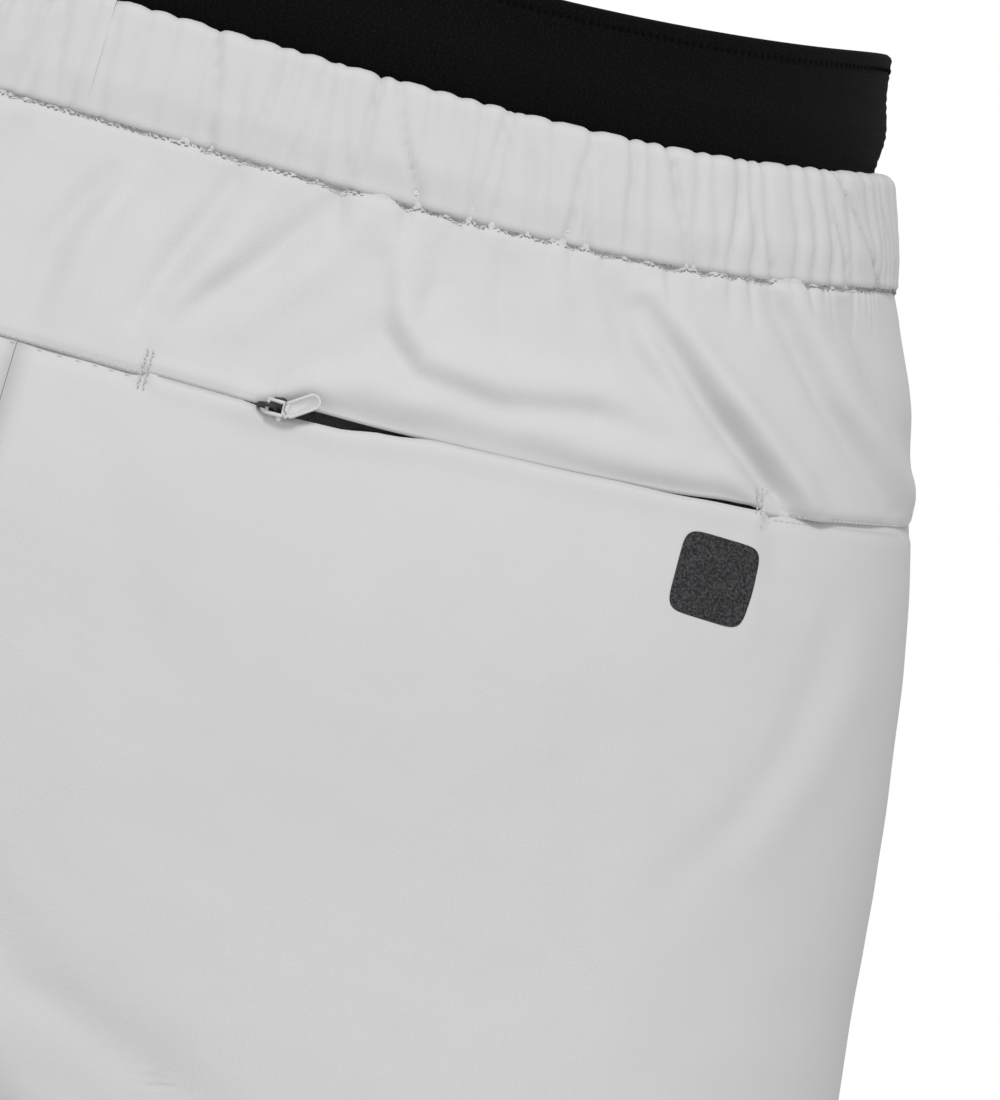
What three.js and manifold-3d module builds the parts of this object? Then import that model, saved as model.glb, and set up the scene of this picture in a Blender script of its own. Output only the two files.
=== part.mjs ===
// Two-layer padded shorts: a loose woven outer short over a padded knit liner.
// Millimetres, +Z up. The wearer faces +Y and +X is the wearer's right side.
// The shorts stand upright on the liner's leg cuffs, with the floor at Z = 0.

import * as THREE from 'three';
import { mergeVertices } from 'three/addons/utils/BufferGeometryUtils.js';
import Module from 'manifold-3d';

const wasm = await Module();
wasm.setup();

// Overall form. A drop is measured down from the centre-back edge of the outer waistband.
const crotchDrop = 262;
const inseam = 178;
const cuffShow = 20;
const hemHalfWidth = 253;
const hemLegRadius = 112;
const sideFlare = 0.114;
const waistTuck = 25;
const waistTuckLength = 57;
const waistDepth = 95;
const hipDepth = 111;
const hemDepth = 87;
const hipDrop = 120;
const seatLength = 142;
const roundness = 2.4;

// Horizontal seams of the outer short.
const waistbandHeight = 26.6;
const yokeDrop = 77.8;
const waistSideRise = 12.6;
const yokeSideRise = 15.6;
const frontDip = 16;

// Cloth and seams.
const shellThickness = 2;
const linerThickness = 2;
const seamGap = 0.3;
const quarterColumns = 10;

// Waistband casing: a folded tube of cloth, open below, round an elastic.
const casingCloth = 1.2;
const casingProud = 2.4;
const casingFold = 2.5;
const elasticThickness = 1.5;
const elasticHeight = 20;
const hemFacingHeight = 22;
const hemFacingCloth = 1.2;

// Liner.
const linerRise = 27;
const linerBandHeight = 55;
const linerBandGap = 0.6;
const linerSeamInset = 1;
const linerSeamGap = 0.8;
const linerInset = 22;
const linerInsetEnd = 67;
const linerCrotchDrop = 242;
const linerHemLegRadius = 88;
const cuffHeight = 28;
const cuffThickness = 3;

// Zipped pocket on the right of the back, in the yoke seam.
const pocketInnerX = 29;
const pocketOuterX = 170;
const pocketSlot = 9.6;
const pocketBottomDrop = 160;
const pocketDepth = 8;
const pocketCloth = 1.2;
const pocketMargin = 8;
const pocketLayerInset = 4.6;
const coilWidth = 1.5;
const coilThickness = 2;
const coilInset = 1.4;
const coilMesh = 0.3;
const openHalfGap = 3;
const splayLength = 14;
const tapeHeight = 13;
const tapeThickness = 0.8;
const tapeBehindCoil = 0.6;
const sliderRest = 28;
const sliderLength = 9;
const sliderWidth = 7;
const sliderPlate = 0.9;
const sliderClearance = 0.35;
const postWidth = 1.4;
const stopMargin = 3;
const stopLength = 1.6;
const stopThickness = 0.8;
const bailWire = 1.1;
const bailSpan = 3.8;
const pullCloth = 1.5;
const eyeBar = 0.8;
const eyeLength = 3;
const eyeWidth = 2.2;
const pullLength = 9;
const pullWidth = 3.8;
const pullThickness = 1.2;
const pullYaw = 0.6;
const bartackLength = 8.7;
const bartackWidth = 2.4;
const bartackThickness = 0.7;
const bartackCloth = 0.5;
const markSize = 18;
const markX = 164;
const markDrop = 86.5;
const markThickness = 0.5;

// Impact pads, each in a cloth cover on the outside of the liner.
const padThickness = 11;
const padClearance = 0.85;
const coverGap = 0.6;
const coverCloth = 1.2;
const labelWidth = 30;
const labelHeight = 26;
const labelThickness = 0.5;

// Values that follow from those above.
const hemDrop = crotchDrop + inseam;
const waistHeight = hemDrop + cuffShow;
const casingInner = -casingProud + 2 * casingCloth + elasticThickness + 2 * seamGap;
const bandInset = casingInner + linerBandGap;
const pullCentre = -pullCloth - pullThickness / 2;
const power = 2 / roundness;
const halfSeam = seamGap / 2;

const { lerp, clamp, smoothstep } = THREE.MathUtils;

// Half the width of the outer short at a drop, seen from behind.
function sideHalfWidth(drop) {
  const below = Math.max(0, drop + waistSideRise) / waistTuckLength;
  return hemHalfWidth - sideFlare * (hemDrop - drop) - waistTuck * Math.exp(-(below ** 1.5));
}

// Half the front-to-back depth of the outer short at a drop.
function sideDepth(drop) {
  const hip = lerp(waistDepth, hipDepth, smoothstep(drop, 0, hipDrop));
  return lerp(hip, hemDepth, smoothstep(drop, hipDrop, hemDrop));
}

// How far the liner's panels lie inside the outer short at a drop.
function insetAt(drop) {
  const top = bandInset + linerSeamInset;
  return lerp(top, linerInset, smoothstep(drop, linerBandHeight - linerRise, linerInsetEnd));
}

const shell = {
  crotch: crotchDrop,
  hem: hemDrop,
  legRadius: hemLegRadius,
  halfWidth: sideHalfWidth,
  depth: sideDepth,
};

const liner = {
  crotch: linerCrotchDrop,
  hem: hemDrop + cuffShow,
  legRadius: linerHemLegRadius,
  halfWidth: (drop) => sideHalfWidth(drop) - insetAt(drop),
  depth: (drop) => sideDepth(drop) - insetAt(drop),
};

// Each side of a layer is one loop round a leg, which opens at the centre plane above the crotch.
function legLoop(form, drop) {
  const halfWidth = form.halfWidth(drop);
  const closing = clamp((drop - form.crotch + seatLength) / seatLength, 0, 1) ** 3;
  let radius = halfWidth / (1 + closing);
  if (drop > form.crotch) {
    const down = ((drop - form.crotch) / (form.hem - form.crotch)) ** 0.7;
    radius = lerp(form.halfWidth(form.crotch) / 2, form.legRadius, Math.min(1, down));
  }
  const centre = halfWidth - radius;
  const open = Math.min(1, centre / radius);
  return { centre, radius, depth: form.depth(drop), reach: Math.acos(-(open ** (roundness / 2))) };
}

const signedPower = (value, exponent) => Math.sign(value) * Math.abs(value) ** exponent;

// A point on the right side: turn runs from -1 at the centre back, through 0 at the side seam,
// to 1 at the centre front. Inset is the distance inwards from the layer's outer face.
function loopPoint(form, turn, drop, inset = 0) {
  const { centre, radius, depth, reach } = legLoop(form, drop);
  const cos = Math.cos(turn * reach);
  const sin = Math.sin(turn * reach);
  const atCentre = Math.abs(turn) > 0.9999 && reach < 3.1;
  const normal = new THREE.Vector2(
    atCentre ? 0 : signedPower(cos, 2 - power) / radius,
    signedPower(sin, 2 - power) / depth,
  ).normalize();
  return {
    x: centre + radius * signedPower(cos, power) - normal.x * inset,
    y: depth * signedPower(sin, power) - normal.y * inset,
  };
}

// How far an edge rises above its centre-back level towards the sides, and dips at the front.
function edgeLift(level, side, front) {
  const fade = 1 - smoothstep(level, yokeDrop, linerCrotchDrop);
  const rise = lerp(waistSideRise, yokeSideRise, clamp((2 * level) / yokeDrop, 0, 1));
  const bend = side ** lerp(4, 3, clamp(level / yokeDrop, 0, 1));
  return fade * (rise * bend - (front ? frontDip * (1 - bend) : 0));
}

function place(form, turn, level, inset = 0) {
  let drop = level;
  for (let step = 0; step < 3; step += 1) {
    const side = clamp(loopPoint(form, turn, drop).x / form.halfWidth(drop), 0, 1);
    drop = level - edgeLift(level, side, turn > 0);
  }
  const { x, y } = loopPoint(form, turn, drop, inset);
  return new THREE.Vector3(x, y, waistHeight - drop);
}

// The turn at which a layer stands at a distance X behind the body, at a drop.
function turnAtX(form, x, drop) {
  const { centre, radius, reach } = legLoop(form, drop);
  return -Math.acos(signedPower((x - centre) / radius, 1 / power)) / reach;
}

// The same point on either side of the centre back, from its X.
function placeAtX(form, x, level, inset = 0) {
  const point = place(form, turnAtX(form, Math.abs(x), level), level, inset);
  point.x = Math.sign(x || 1) * point.x;
  if (Math.abs(x) < 0.01) point.x = 0;
  return point;
}

// A point all the way round the waist, by its angle from the right side seam.
function placeRound(form, angle, level, inset) {
  const left = Math.cos(angle) < 0;
  const folded = left ? Math.PI - angle : angle;
  const wrapped = Math.atan2(Math.sin(folded), Math.cos(folded));
  const point = place(form, wrapped / (Math.PI / 2), level, inset);
  if (left) point.x = -point.x;
  return point;
}

function signedVolume(geometry) {
  const position = geometry.attributes.position;
  const corner = [0, 1, 2].map(() => new THREE.Vector3());
  let sum = 0;
  for (let i = 0; i < geometry.index.count; i += 3) {
    corner.forEach((c, j) => c.fromBufferAttribute(position, geometry.index.getX(i + j)));
    sum += corner[0].dot(corner[1].cross(corner[2]));
  }
  return sum / 6;
}

// Moves each vertex of a closed geometry by a map and leaves its faces pointing out.
function shaped(geometry, map) {
  geometry.deleteAttribute('normal');
  geometry.deleteAttribute('uv');
  const merged = mergeVertices(geometry, 1e-5);
  const position = merged.attributes.position;
  const vertex = new THREE.Vector3();
  for (let i = 0; i < position.count; i += 1) {
    const moved = map(vertex.fromBufferAttribute(position, i));
    position.setXYZ(i, moved.x, moved.y, moved.z);
  }
  if (signedVolume(merged) < 0) {
    const order = merged.index.array;
    for (let i = 0; i < order.length; i += 3) [order[i], order[i + 1]] = [order[i + 1], order[i]];
  }
  merged.computeVertexNormals();
  return merged;
}

// A thick sheet: across and up run from 0 to 1, and through runs from its outer to its inner face.
// Both faces' cells are split along the same diagonal, so a twisted cell keeps its thickness.
function sheet(columns, rows, map) {
  const slab = new THREE.BoxGeometry(1, 1, 1, columns, 1, rows);
  const order = slab.index.array;
  const { start, count } = slab.groups[3];
  for (let i = start; i < start + count; i += 6) {
    order[i + 2] = order[i + 4];
    order[i + 3] = order[i];
  }
  return shaped(slab, (v) => map(v.x + 0.5, v.z + 0.5, v.y + 0.5));
}

// A closed ring with a profile of [inset, level] corners, sent round by a map from its angle.
function ring(profile, segments, map) {
  const offset = 1000;
  const corners = [...profile, profile[0]].map(([inset, level]) => (
    new THREE.Vector2(offset + inset, level)
  ));
  const lathe = new THREE.LatheGeometry(corners, segments);
  return shaped(lathe, (v) => map(Math.atan2(v.z, v.x), v.y, Math.hypot(v.x, v.z) - offset));
}

const block = (length, depth, height) => shaped(new THREE.BoxGeometry(length, depth, height), (v) => v);

// A block between two corners in X and Y, and centred on Z = 0.
function slab([fromX, fromY], [toX, toY], height) {
  return block(toX - fromX, toY - fromY, height).translate((fromX + toX) / 2, (fromY + toY) / 2, 0);
}

const material = (color, roughness, metalness = 0) => (
  new THREE.MeshStandardMaterial({ color, roughness, metalness })
);
const shellCloth = material(0xc6c8ca, 0.85);
const bandCloth = material(0xbfc1c3, 0.85);
const linerCloth = material(0x1a1b1d, 0.9);
const linerBand = material(0x202123, 0.8);
const pocketMesh = material(0xb4b6b8, 0.9);
const coilPlastic = material(0x9a9ca0, 0.5);
const sliderMetal = material(0x3c3e41, 0.4, 0.8);
const pullPlastic = material(0xbcbec0, 0.6);
const threadPale = material(0xd2d3d4, 0.8);
const markInk = material(0x3b3d40, 0.5);
const padFoam = material(0x4a4c50, 0.95);
const elasticWhite = material(0xe2e2de, 0.8);
const labelWhite = material(0xf0f0ee, 0.7);

const group = new THREE.Group();

function add(name, geometry, cloth) {
  const mesh = new THREE.Mesh(geometry, cloth);
  mesh.name = name;
  group.add(mesh);
  return mesh;
}

// Adds the right-hand piece and its mirror image on the left.
function addPair(name, geometry, cloth) {
  add(`${name}_right`, geometry, cloth);
  add(`${name}_left`, geometry, cloth).scale.x = -1;
}

// A front or back panel of one side, from its top seam to its bottom one. The rows close up
// towards the crotch, where the centre seam turns under.
function panel(form, front, topLevel, bottomLevel, thickness) {
  const upperRows = 8;
  const lowerRows = 4;
  const rows = upperRows + lowerRows;
  const levelAt = (down) => {
    const row = down * rows;
    if (row <= upperRows) {
      return lerp(form.crotch, topLevel, (1 - row / upperRows) ** 1.5);
    }
    return lerp(form.crotch, bottomLevel, (row - upperRows) / lowerRows);
  };
  return sheet(quarterColumns, rows, (across, up, through) => {
    const turn = front ? across : across - 1;
    const point = place(form, turn, levelAt(1 - up), through * thickness);
    point.x = Math.max(point.x, halfSeam);
    point.y = front ? Math.max(point.y, halfSeam) : Math.min(point.y, -halfSeam);
    return point;
  });
}

function toManifold(geometry) {
  return new wasm.Manifold(new wasm.Mesh({
    numProp: 3,
    vertProperties: new Float32Array(geometry.attributes.position.array),
    triVerts: new Uint32Array(geometry.index.array),
  }));
}

function fromManifold(solid) {
  const { vertProperties, triVerts } = solid.getMesh();
  const geometry = new THREE.BufferGeometry();
  geometry.setAttribute('position', new THREE.BufferAttribute(vertProperties, 3));
  geometry.setIndex(new THREE.BufferAttribute(triVerts, 1));
  geometry.computeVertexNormals();
  return geometry;
}

const cutFrom = (geometry, cutter) => fromManifold(toManifold(geometry).subtract(toManifold(cutter)));

// The zip lies on the circle through both ends and the middle of the pocket mouth.
const mouthMiddleX = (pocketInnerX + pocketOuterX) / 2;
const mouth = [pocketInnerX, mouthMiddleX, pocketOuterX].map((x) => placeAtX(shell, x, yokeDrop));
const zip = circleThrough(mouth);
const zipLean = leanAt(mouthMiddleX, tapeHeight);

function circleThrough([start, middle, end]) {
  const a = start.clone().sub(end);
  const b = middle.clone().sub(end);
  const up = new THREE.Vector3().crossVectors(a, b).normalize();
  if (up.z < 0) up.negate();
  const square = new THREE.Vector3().crossVectors(a, b).lengthSq();
  const centre = new THREE.Vector3()
    .addScaledVector(b, a.lengthSq())
    .addScaledVector(a, -b.lengthSq())
    .cross(new THREE.Vector3().crossVectors(a, b))
    .divideScalar(2 * square)
    .add(end);
  const out = start.clone().sub(centre);
  const radius = out.length();
  out.normalize();
  const length = radius * out.angleTo(end.clone().sub(centre));
  return { centre, up, out, radius, length };
}

// The cloth leans inwards above the zip, so the zip lies on a cone about its circle's axis.
function leanAt(x, reach) {
  const above = placeAtX(shell, x, yokeDrop - reach);
  const below = placeAtX(shell, x, yokeDrop + reach);
  const rise = above.clone().sub(below).dot(zip.up);
  const radiusAt = (point) => point.clone().sub(zip.centre).projectOnPlane(zip.up).length();
  return Math.atan2(radiusAt(below) - radiusAt(above), rise);
}

// The zip's directions at a distance along it: forwards, inwards through the cloth and across it.
function zipFrame(along) {
  const radial = zip.out.clone().applyAxisAngle(zip.up, along / zip.radius);
  const forwards = new THREE.Vector3().crossVectors(zip.up, radial);
  const across = zip.up.clone().applyAxisAngle(forwards, -zipLean);
  const inwards = new THREE.Vector3().crossVectors(across, forwards);
  const origin = radial.clone().multiplyScalar(zip.radius).add(zip.centre);
  return { origin, forwards, inwards, across };
}

// A point by its distance along the zip, outwards from the cloth's face and up across the zip.
function onZip(along, outwards, upwards) {
  const { origin, inwards, across } = zipFrame(along);
  return origin.addScaledVector(inwards, -outwards).addScaledVector(across, upwards);
}

// Stands a straight piece, with X along the zip and Y inwards, at a distance along it.
function standOnZip(mesh, along) {
  const { origin, forwards, inwards, across } = zipFrame(along);
  mesh.position.copy(origin);
  mesh.quaternion.setFromRotationMatrix(new THREE.Matrix4().makeBasis(forwards, inwards, across));
  return mesh;
}

// Half the gap between the two coils: meshed behind the slider and apart ahead of it.
function coilHalfGap(along) {
  return lerp(coilMesh / 2, openHalfGap, smoothstep(along, sliderRest - sliderLength / 2, sliderRest + splayLength));
}

// A strip beside the zip, from near to far of the coil's inner edge, on the upper or lower side.
function zipStrip(side, near, far, inset, thickness) {
  return sheet(24, 1, (across, up, through) => {
    const along = lerp(1.5, zip.length - 1.5, across);
    const reach = coilHalfGap(along) + (up ? far : near);
    return onZip(along, -inset - through * thickness, side * reach);
  });
}

function makeOuterShort() {
  const seamLevel = waistbandHeight + halfSeam;
  const slot = sheet(24, 1, (across, up, through) => (
    onZip(across * zip.length, lerp(12, -12, through), (up - 0.5) * pocketSlot)
  ));
  const yoke = sheet(2 * quarterColumns, 3, (across, up, through) => {
    const level = lerp(yokeDrop - halfSeam, seamLevel, up);
    const point = placeRound(shell, (across - 1) * Math.PI, level, through * shellThickness);
    point.y = Math.min(point.y, -halfSeam);
    return point;
  });
  const front = panel(shell, true, seamLevel, hemDrop, shellThickness);
  const back = panel(shell, false, yokeDrop + halfSeam, hemDrop, shellThickness);
  add('back_yoke', cutFrom(yoke, slot), shellCloth);
  addPair('outer_front', front, shellCloth);
  add('outer_back_right', cutFrom(back, slot), shellCloth);
  add('outer_back_left', back, shellCloth).scale.x = -1;

  const facingIn = shellThickness + seamGap;
  const facing = ring([
    [facingIn, hemDrop - hemFacingHeight],
    [facingIn + hemFacingCloth, hemDrop - hemFacingHeight],
    [facingIn + hemFacingCloth, hemDrop],
    [facingIn, hemDrop],
  ], 2 * quarterColumns, (angle, level, inset) => place(shell, angle / Math.PI, level, inset));
  addPair('hem_facing', facing, shellCloth);
}

function makeWaistband() {
  const outer = -casingProud;
  const inner = casingInner;
  const bottom = waistbandHeight - halfSeam;
  const fold = casingFold;
  const casing = [
    [outer, bottom],
    [outer, fold],
    [outer + fold / 2, 0],
    [inner - fold / 2, 0],
    [inner, fold],
    [inner, bottom],
    [inner - casingCloth, bottom],
    [inner - casingCloth, fold + casingCloth],
    [outer + casingCloth, fold + casingCloth],
    [outer + casingCloth, bottom],
  ];
  const elasticOuter = outer + casingCloth + seamGap;
  const elasticTop = fold + casingCloth + seamGap;
  const elastic = [
    [elasticOuter, elasticTop],
    [elasticOuter + elasticThickness, elasticTop],
    [elasticOuter + elasticThickness, elasticTop + elasticHeight],
    [elasticOuter, elasticTop + elasticHeight],
  ];
  const round = (angle, level, inset) => placeRound(shell, angle, level, inset);
  add('waistband_casing', ring(casing, 4 * quarterColumns, round), bandCloth);
  add('waistband_elastic', ring(elastic, 4 * quarterColumns, round), elasticWhite);
}

function makeLiner() {
  const bandBottom = linerBandHeight - linerRise;
  const levels = [-linerRise, 0, casingFold, waistbandHeight - halfSeam, bandBottom - halfSeam];
  const band = [
    ...levels.map((level) => [bandInset, level]),
    ...levels.reverse().map((level) => [bandInset + linerThickness, level]),
  ];
  const round = (angle, level, inset) => placeRound(shell, angle, level, inset);
  add('liner_waistband', ring(band, 4 * quarterColumns, round), linerBand);

  const top = bandBottom + linerSeamGap;
  const cuffTop = liner.hem - cuffHeight;
  const bottom = cuffTop - seamGap;
  addPair('liner_front', panel(liner, true, top, bottom, linerThickness), linerCloth);
  addPair('liner_back', panel(liner, false, top, bottom, linerThickness), linerCloth);
  const outer = (linerThickness - cuffThickness) / 2;
  const cuff = ring([
    [outer, cuffTop],
    [outer + cuffThickness, cuffTop],
    [outer + cuffThickness, liner.hem],
    [outer, liner.hem],
  ], 2 * quarterColumns, (angle, level, inset) => place(liner, angle / Math.PI, level, inset));
  addPair('liner_cuff', cuff, linerBand);

  const label = sheet(4, 3, (across, up, through) => {
    const inset = linerThickness + seamGap + through * labelThickness;
    return placeAtX(liner, (across - 0.5) * labelWidth, bandBottom - up * labelHeight, inset);
  });
  add('care_label', label, labelWhite);
}

// A pad and its cover share one grid. The cover's outermost cells slope down to its border,
// which lies on the liner round the pad.
function addPad(name, addPiece, cells, pointAt) {
  const border = 1 / cells;
  const within = (share) => lerp(border, 1 - border, share);
  const pad = sheet(cells - 2, cells - 2, (across, up, through) => (
    pointAt(within(across), within(up), -padClearance - (1 - through) * padThickness)
  ));
  const cover = sheet(cells, cells, (across, up, through) => {
    const rim = Math.min(across, 1 - across, up, 1 - up) < border / 2;
    const under = padClearance + (rim ? 0 : padThickness + coverGap);
    return pointAt(across, up, -under - (1 - through) * coverCloth);
  });
  addPiece(name, pad, padFoam);
  addPiece(`${name}_cover`, cover, linerCloth);
}

// A pad area between two columns of the liner's panels and two drops, on the right side.
function linerArea(fromColumn, toColumn, topDrop, bottomDrop) {
  return (across, up, inset) => {
    const turn = lerp(fromColumn, toColumn, across) / quarterColumns;
    return place(liner, turn, lerp(bottomDrop, topDrop, up), inset);
  };
}

// The same across the centre back, out to one column on each side.
function centreArea(topDrop, bottomDrop) {
  return (across, up, inset) => {
    const aside = Math.abs(2 * across - 1);
    const point = place(liner, aside / quarterColumns - 1, lerp(bottomDrop, topDrop, up), inset);
    if (across < 0.5) point.x = -point.x;
    return point;
  };
}

function makePads() {
  addPad('hip_pad', addPair, 6, linerArea(-2, 4, 98, 222));
  addPad('thigh_pad', addPair, 8, linerArea(3, 7, 272, 384));
  addPad('seat_pad', addPair, 8, linerArea(-8, -4, 172, 240));
  addPad('tailbone_pad', add, 4, centreArea(166, 212));
}

function makePocket() {
  const layerInner = pocketLayerInset + pocketCloth;
  const left = pocketInnerX - pocketMargin;
  const right = pocketOuterX + pocketMargin;
  const tapeReach = openHalfGap + tapeHeight + 1;
  const outerTop = yokeDrop + tapeReach;
  const outer = sheet(8, 4, (across, up, through) => {
    const level = lerp(pocketBottomDrop, outerTop, up);
    return placeAtX(shell, lerp(left, right, across), level, pocketLayerInset + through * pocketCloth);
  });
  const rim = layerInner + coverGap;
  const innerTop = yokeDrop - tapeReach;
  const inner = sheet(14, 8, (across, up, through) => {
    const fullAcross = clamp(Math.min(across, 1 - across) * 14, 0, 1);
    const fullUp = clamp(Math.min(up, 1 - up) * 8, 0, 1);
    const inset = rim + pocketDepth * fullAcross * fullUp + through * pocketCloth;
    return placeAtX(shell, lerp(left, right, across), lerp(pocketBottomDrop, innerTop, up), inset);
  });
  add('pocket_bag_outer', outer, pocketMesh);
  add('pocket_bag_inner', inner, pocketMesh);
}

function makeZip() {
  const tapeInset = coilInset + coilThickness + tapeBehindCoil;
  for (const [label, side] of [['upper', 1], ['lower', -1]]) {
    const coil = zipStrip(side, 0, coilWidth, coilInset, coilThickness);
    const tape = zipStrip(side, coilMesh, tapeHeight, tapeInset, tapeThickness);
    add(`zip_coil_${label}`, coil, coilPlastic);
    add(`zip_tape_${label}`, tape, pocketMesh);
  }
  const meshed = coilMesh / 2 + coilWidth;
  standOnZip(add('zip_bottom_stop', makeStop(-meshed, meshed), sliderMetal), stopMargin);
  const open = makeStop(openHalfGap, openHalfGap + coilWidth);
  standOnZip(add('zip_top_stop', open, sliderMetal), zip.length - stopMargin);
}

// A stop clipped over the outer face of one coil or both.
function makeStop(from, to) {
  const middle = coilInset - seamGap - stopThickness / 2;
  return block(stopLength, stopThickness, to - from).translate(0, middle, (from + to) / 2);
}

// The slider's two plates and its post, with the bail that carries the pull.
function makeSlider() {
  const plateIn = coilInset - sliderClearance;
  const plateOut = plateIn - sliderPlate;
  const tapeInner = coilInset + coilThickness + tapeBehindCoil + tapeThickness;
  const backOut = tapeInner + sliderClearance;
  const barIn = pullCentre - pullThickness / 2 - seamGap;
  const barOut = barIn - bailWire;
  const leg = (x) => toManifold(slab([x - bailWire / 2, barOut], [x + bailWire / 2, plateIn], bailWire));
  const halfLength = sliderLength / 2;
  const postX = halfLength - postWidth;
  const solid = toManifold(slab([-halfLength, plateOut], [halfLength, plateIn], sliderWidth))
    .add(toManifold(slab([-halfLength, backOut], [halfLength, backOut + sliderPlate], sliderWidth)))
    .add(toManifold(slab([postX, plateOut], [postX + postWidth, backOut + sliderPlate], postWidth)))
    .add(leg(-bailSpan / 2))
    .add(leg(bailSpan / 2))
    .add(toManifold(slab([-bailSpan / 2, barOut], [bailSpan / 2, barIn], bailWire)));
  standOnZip(add('zip_slider', fromManifold(solid), sliderMetal), sliderRest);
}

// The pull's eye hangs on the bail, and its tab leans up across the cloth.
function makePull() {
  const inside = pullCentre + pullThickness / 2;
  const outside = pullCentre - pullThickness / 2;
  const eyeEnd = eyeLength + 2 * eyeBar;
  const eye = slab([-eyeBar / 2, outside], [eyeEnd - eyeBar / 2, inside], pullWidth);
  const hole = slab([eyeBar / 2, outside - 1], [eyeBar / 2 + eyeLength, inside + 1], eyeWidth);
  const tab = slab([0, outside], [pullLength, inside], pullWidth)
    .rotateY(-pullYaw)
    .translate(eyeEnd, 0, 0);
  const joined = toManifold(eye).add(toManifold(tab)).subtract(toManifold(hole));
  standOnZip(add('zip_pull', fromManifold(joined), pullPlastic), sliderRest);
}

function makeTrim() {
  const tack = () => block(bartackWidth, bartackThickness, bartackLength)
    .translate(0, -bartackCloth - bartackThickness / 2, 0);
  standOnZip(add('bartack_inner', tack(), threadPale), 0);
  standOnZip(add('bartack_outer', tack(), threadPale), zip.length);
  const mark = sheet(3, 3, (across, up, through) => {
    const x = markX + (across - 0.5) * markSize;
    const level = markDrop + edgeLift(markDrop, x / sideHalfWidth(markDrop), false);
    const inset = -seamGap - (1 - through) * markThickness;
    return placeAtX(shell, x, level - (up - 0.5) * markSize, inset);
  });
  add('reflective_mark', mark, markInk);
}

makeOuterShort();
makeWaistband();
makeLiner();
makePads();
makePocket();
makeZip();
makeSlider();
makePull();
makeTrim();

export default group;
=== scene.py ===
import math
import random

import bmesh
import bpy
from mathutils import Matrix, Vector, noise


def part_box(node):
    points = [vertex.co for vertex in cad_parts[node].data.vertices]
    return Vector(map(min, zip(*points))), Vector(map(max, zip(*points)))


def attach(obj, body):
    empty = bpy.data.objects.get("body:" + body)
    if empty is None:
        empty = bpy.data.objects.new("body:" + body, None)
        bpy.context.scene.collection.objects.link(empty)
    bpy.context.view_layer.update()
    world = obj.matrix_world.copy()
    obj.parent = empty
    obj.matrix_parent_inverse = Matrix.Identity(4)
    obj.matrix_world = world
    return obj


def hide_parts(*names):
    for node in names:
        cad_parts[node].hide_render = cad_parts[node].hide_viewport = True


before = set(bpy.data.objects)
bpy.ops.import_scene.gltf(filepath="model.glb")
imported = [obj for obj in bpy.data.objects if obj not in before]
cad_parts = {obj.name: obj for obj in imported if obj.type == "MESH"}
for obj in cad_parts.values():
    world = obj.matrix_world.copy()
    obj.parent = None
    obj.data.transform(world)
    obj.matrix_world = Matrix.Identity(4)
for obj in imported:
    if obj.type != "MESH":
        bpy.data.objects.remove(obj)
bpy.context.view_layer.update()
print("frame loaded:", len(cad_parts), "nodes")

mm = 0.001  # the shapes below are worked out in millimetres


# form of the two layers

def boxMm(node):
    low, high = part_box(node)
    return Vector(low) / mm, Vector(high) / mm


form = {
    "waistHeight": boxMm("outer_back_left")[0].z + 440,
    "hemDrop": 440,
    "crotchDrop": 262,
    "linerCrotchDrop": 242,
    "hemHalfWidth": boxMm("outer_back_right")[1].x,
    "hemLegRadius": 112,
    "linerHemLegRadius": 88,
    "sideFlare": 0.114,
    "waistTuck": 25,
    "waistTuckLength": 57,
    "waistDepth": 95,
    "hipDepth": 111,
    "hemDepth": 87,
    "hipDrop": 120,
    "seatLength": 142,
    "roundness": 2.4,
    "waistbandHeight": 26.6,
    "yokeDrop": 77.8,
    "waistSideRise": 12.6,
    "yokeSideRise": 15.6,
    "frontDip": 16,
    "bandInset": 2.7,
    "bandBottom": 28,
    "linerInset": 22,
    "linerInsetEnd": 67,
}
form["cuffShow"] = form["waistHeight"] - form["hemDrop"]
power = 2 / form["roundness"]


sides = {"right": 1, "left": -1}


def lerp(a, b, t):
    return a + (b - a) * t


def clamp(value, low=0.0, high=1.0):
    return max(low, min(high, value))


def smooth(value, low, high):
    t = clamp((value - low) / (high - low))
    return t * t * (3 - 2 * t)


def bell(distance, width):
    return math.exp(-(distance / width) ** 2)


def signedPower(value, exponent):
    return math.copysign(abs(value) ** exponent, value)


def halfWidthAt(drop):
    below = max(0, drop + form["waistSideRise"]) / form["waistTuckLength"]
    tuck = form["waistTuck"] * math.exp(-(below ** 1.5))
    return form["hemHalfWidth"] - form["sideFlare"] * (form["hemDrop"] - drop) - tuck


def depthAt(drop):
    hip = lerp(form["waistDepth"], form["hipDepth"], smooth(drop, 0, form["hipDrop"]))
    return lerp(hip, form["hemDepth"], smooth(drop, form["hipDrop"], form["hemDrop"]))


def linerInsetAt(drop):
    start = form["bandInset"] + 1
    return lerp(start, form["linerInset"], smooth(drop, form["bandBottom"], form["linerInsetEnd"]))


# Each layer: its crotch, its hem, the leg's radius there and how far it lies inside the shell.
shell = {
    "crotch": form["crotchDrop"],
    "hem": form["hemDrop"],
    "legRadius": form["hemLegRadius"],
    "inset": lambda drop: 0,
}
liner = {
    "crotch": form["linerCrotchDrop"],
    "hem": form["hemDrop"] + form["cuffShow"],
    "legRadius": form["linerHemLegRadius"],
    "inset": linerInsetAt,
}


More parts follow.
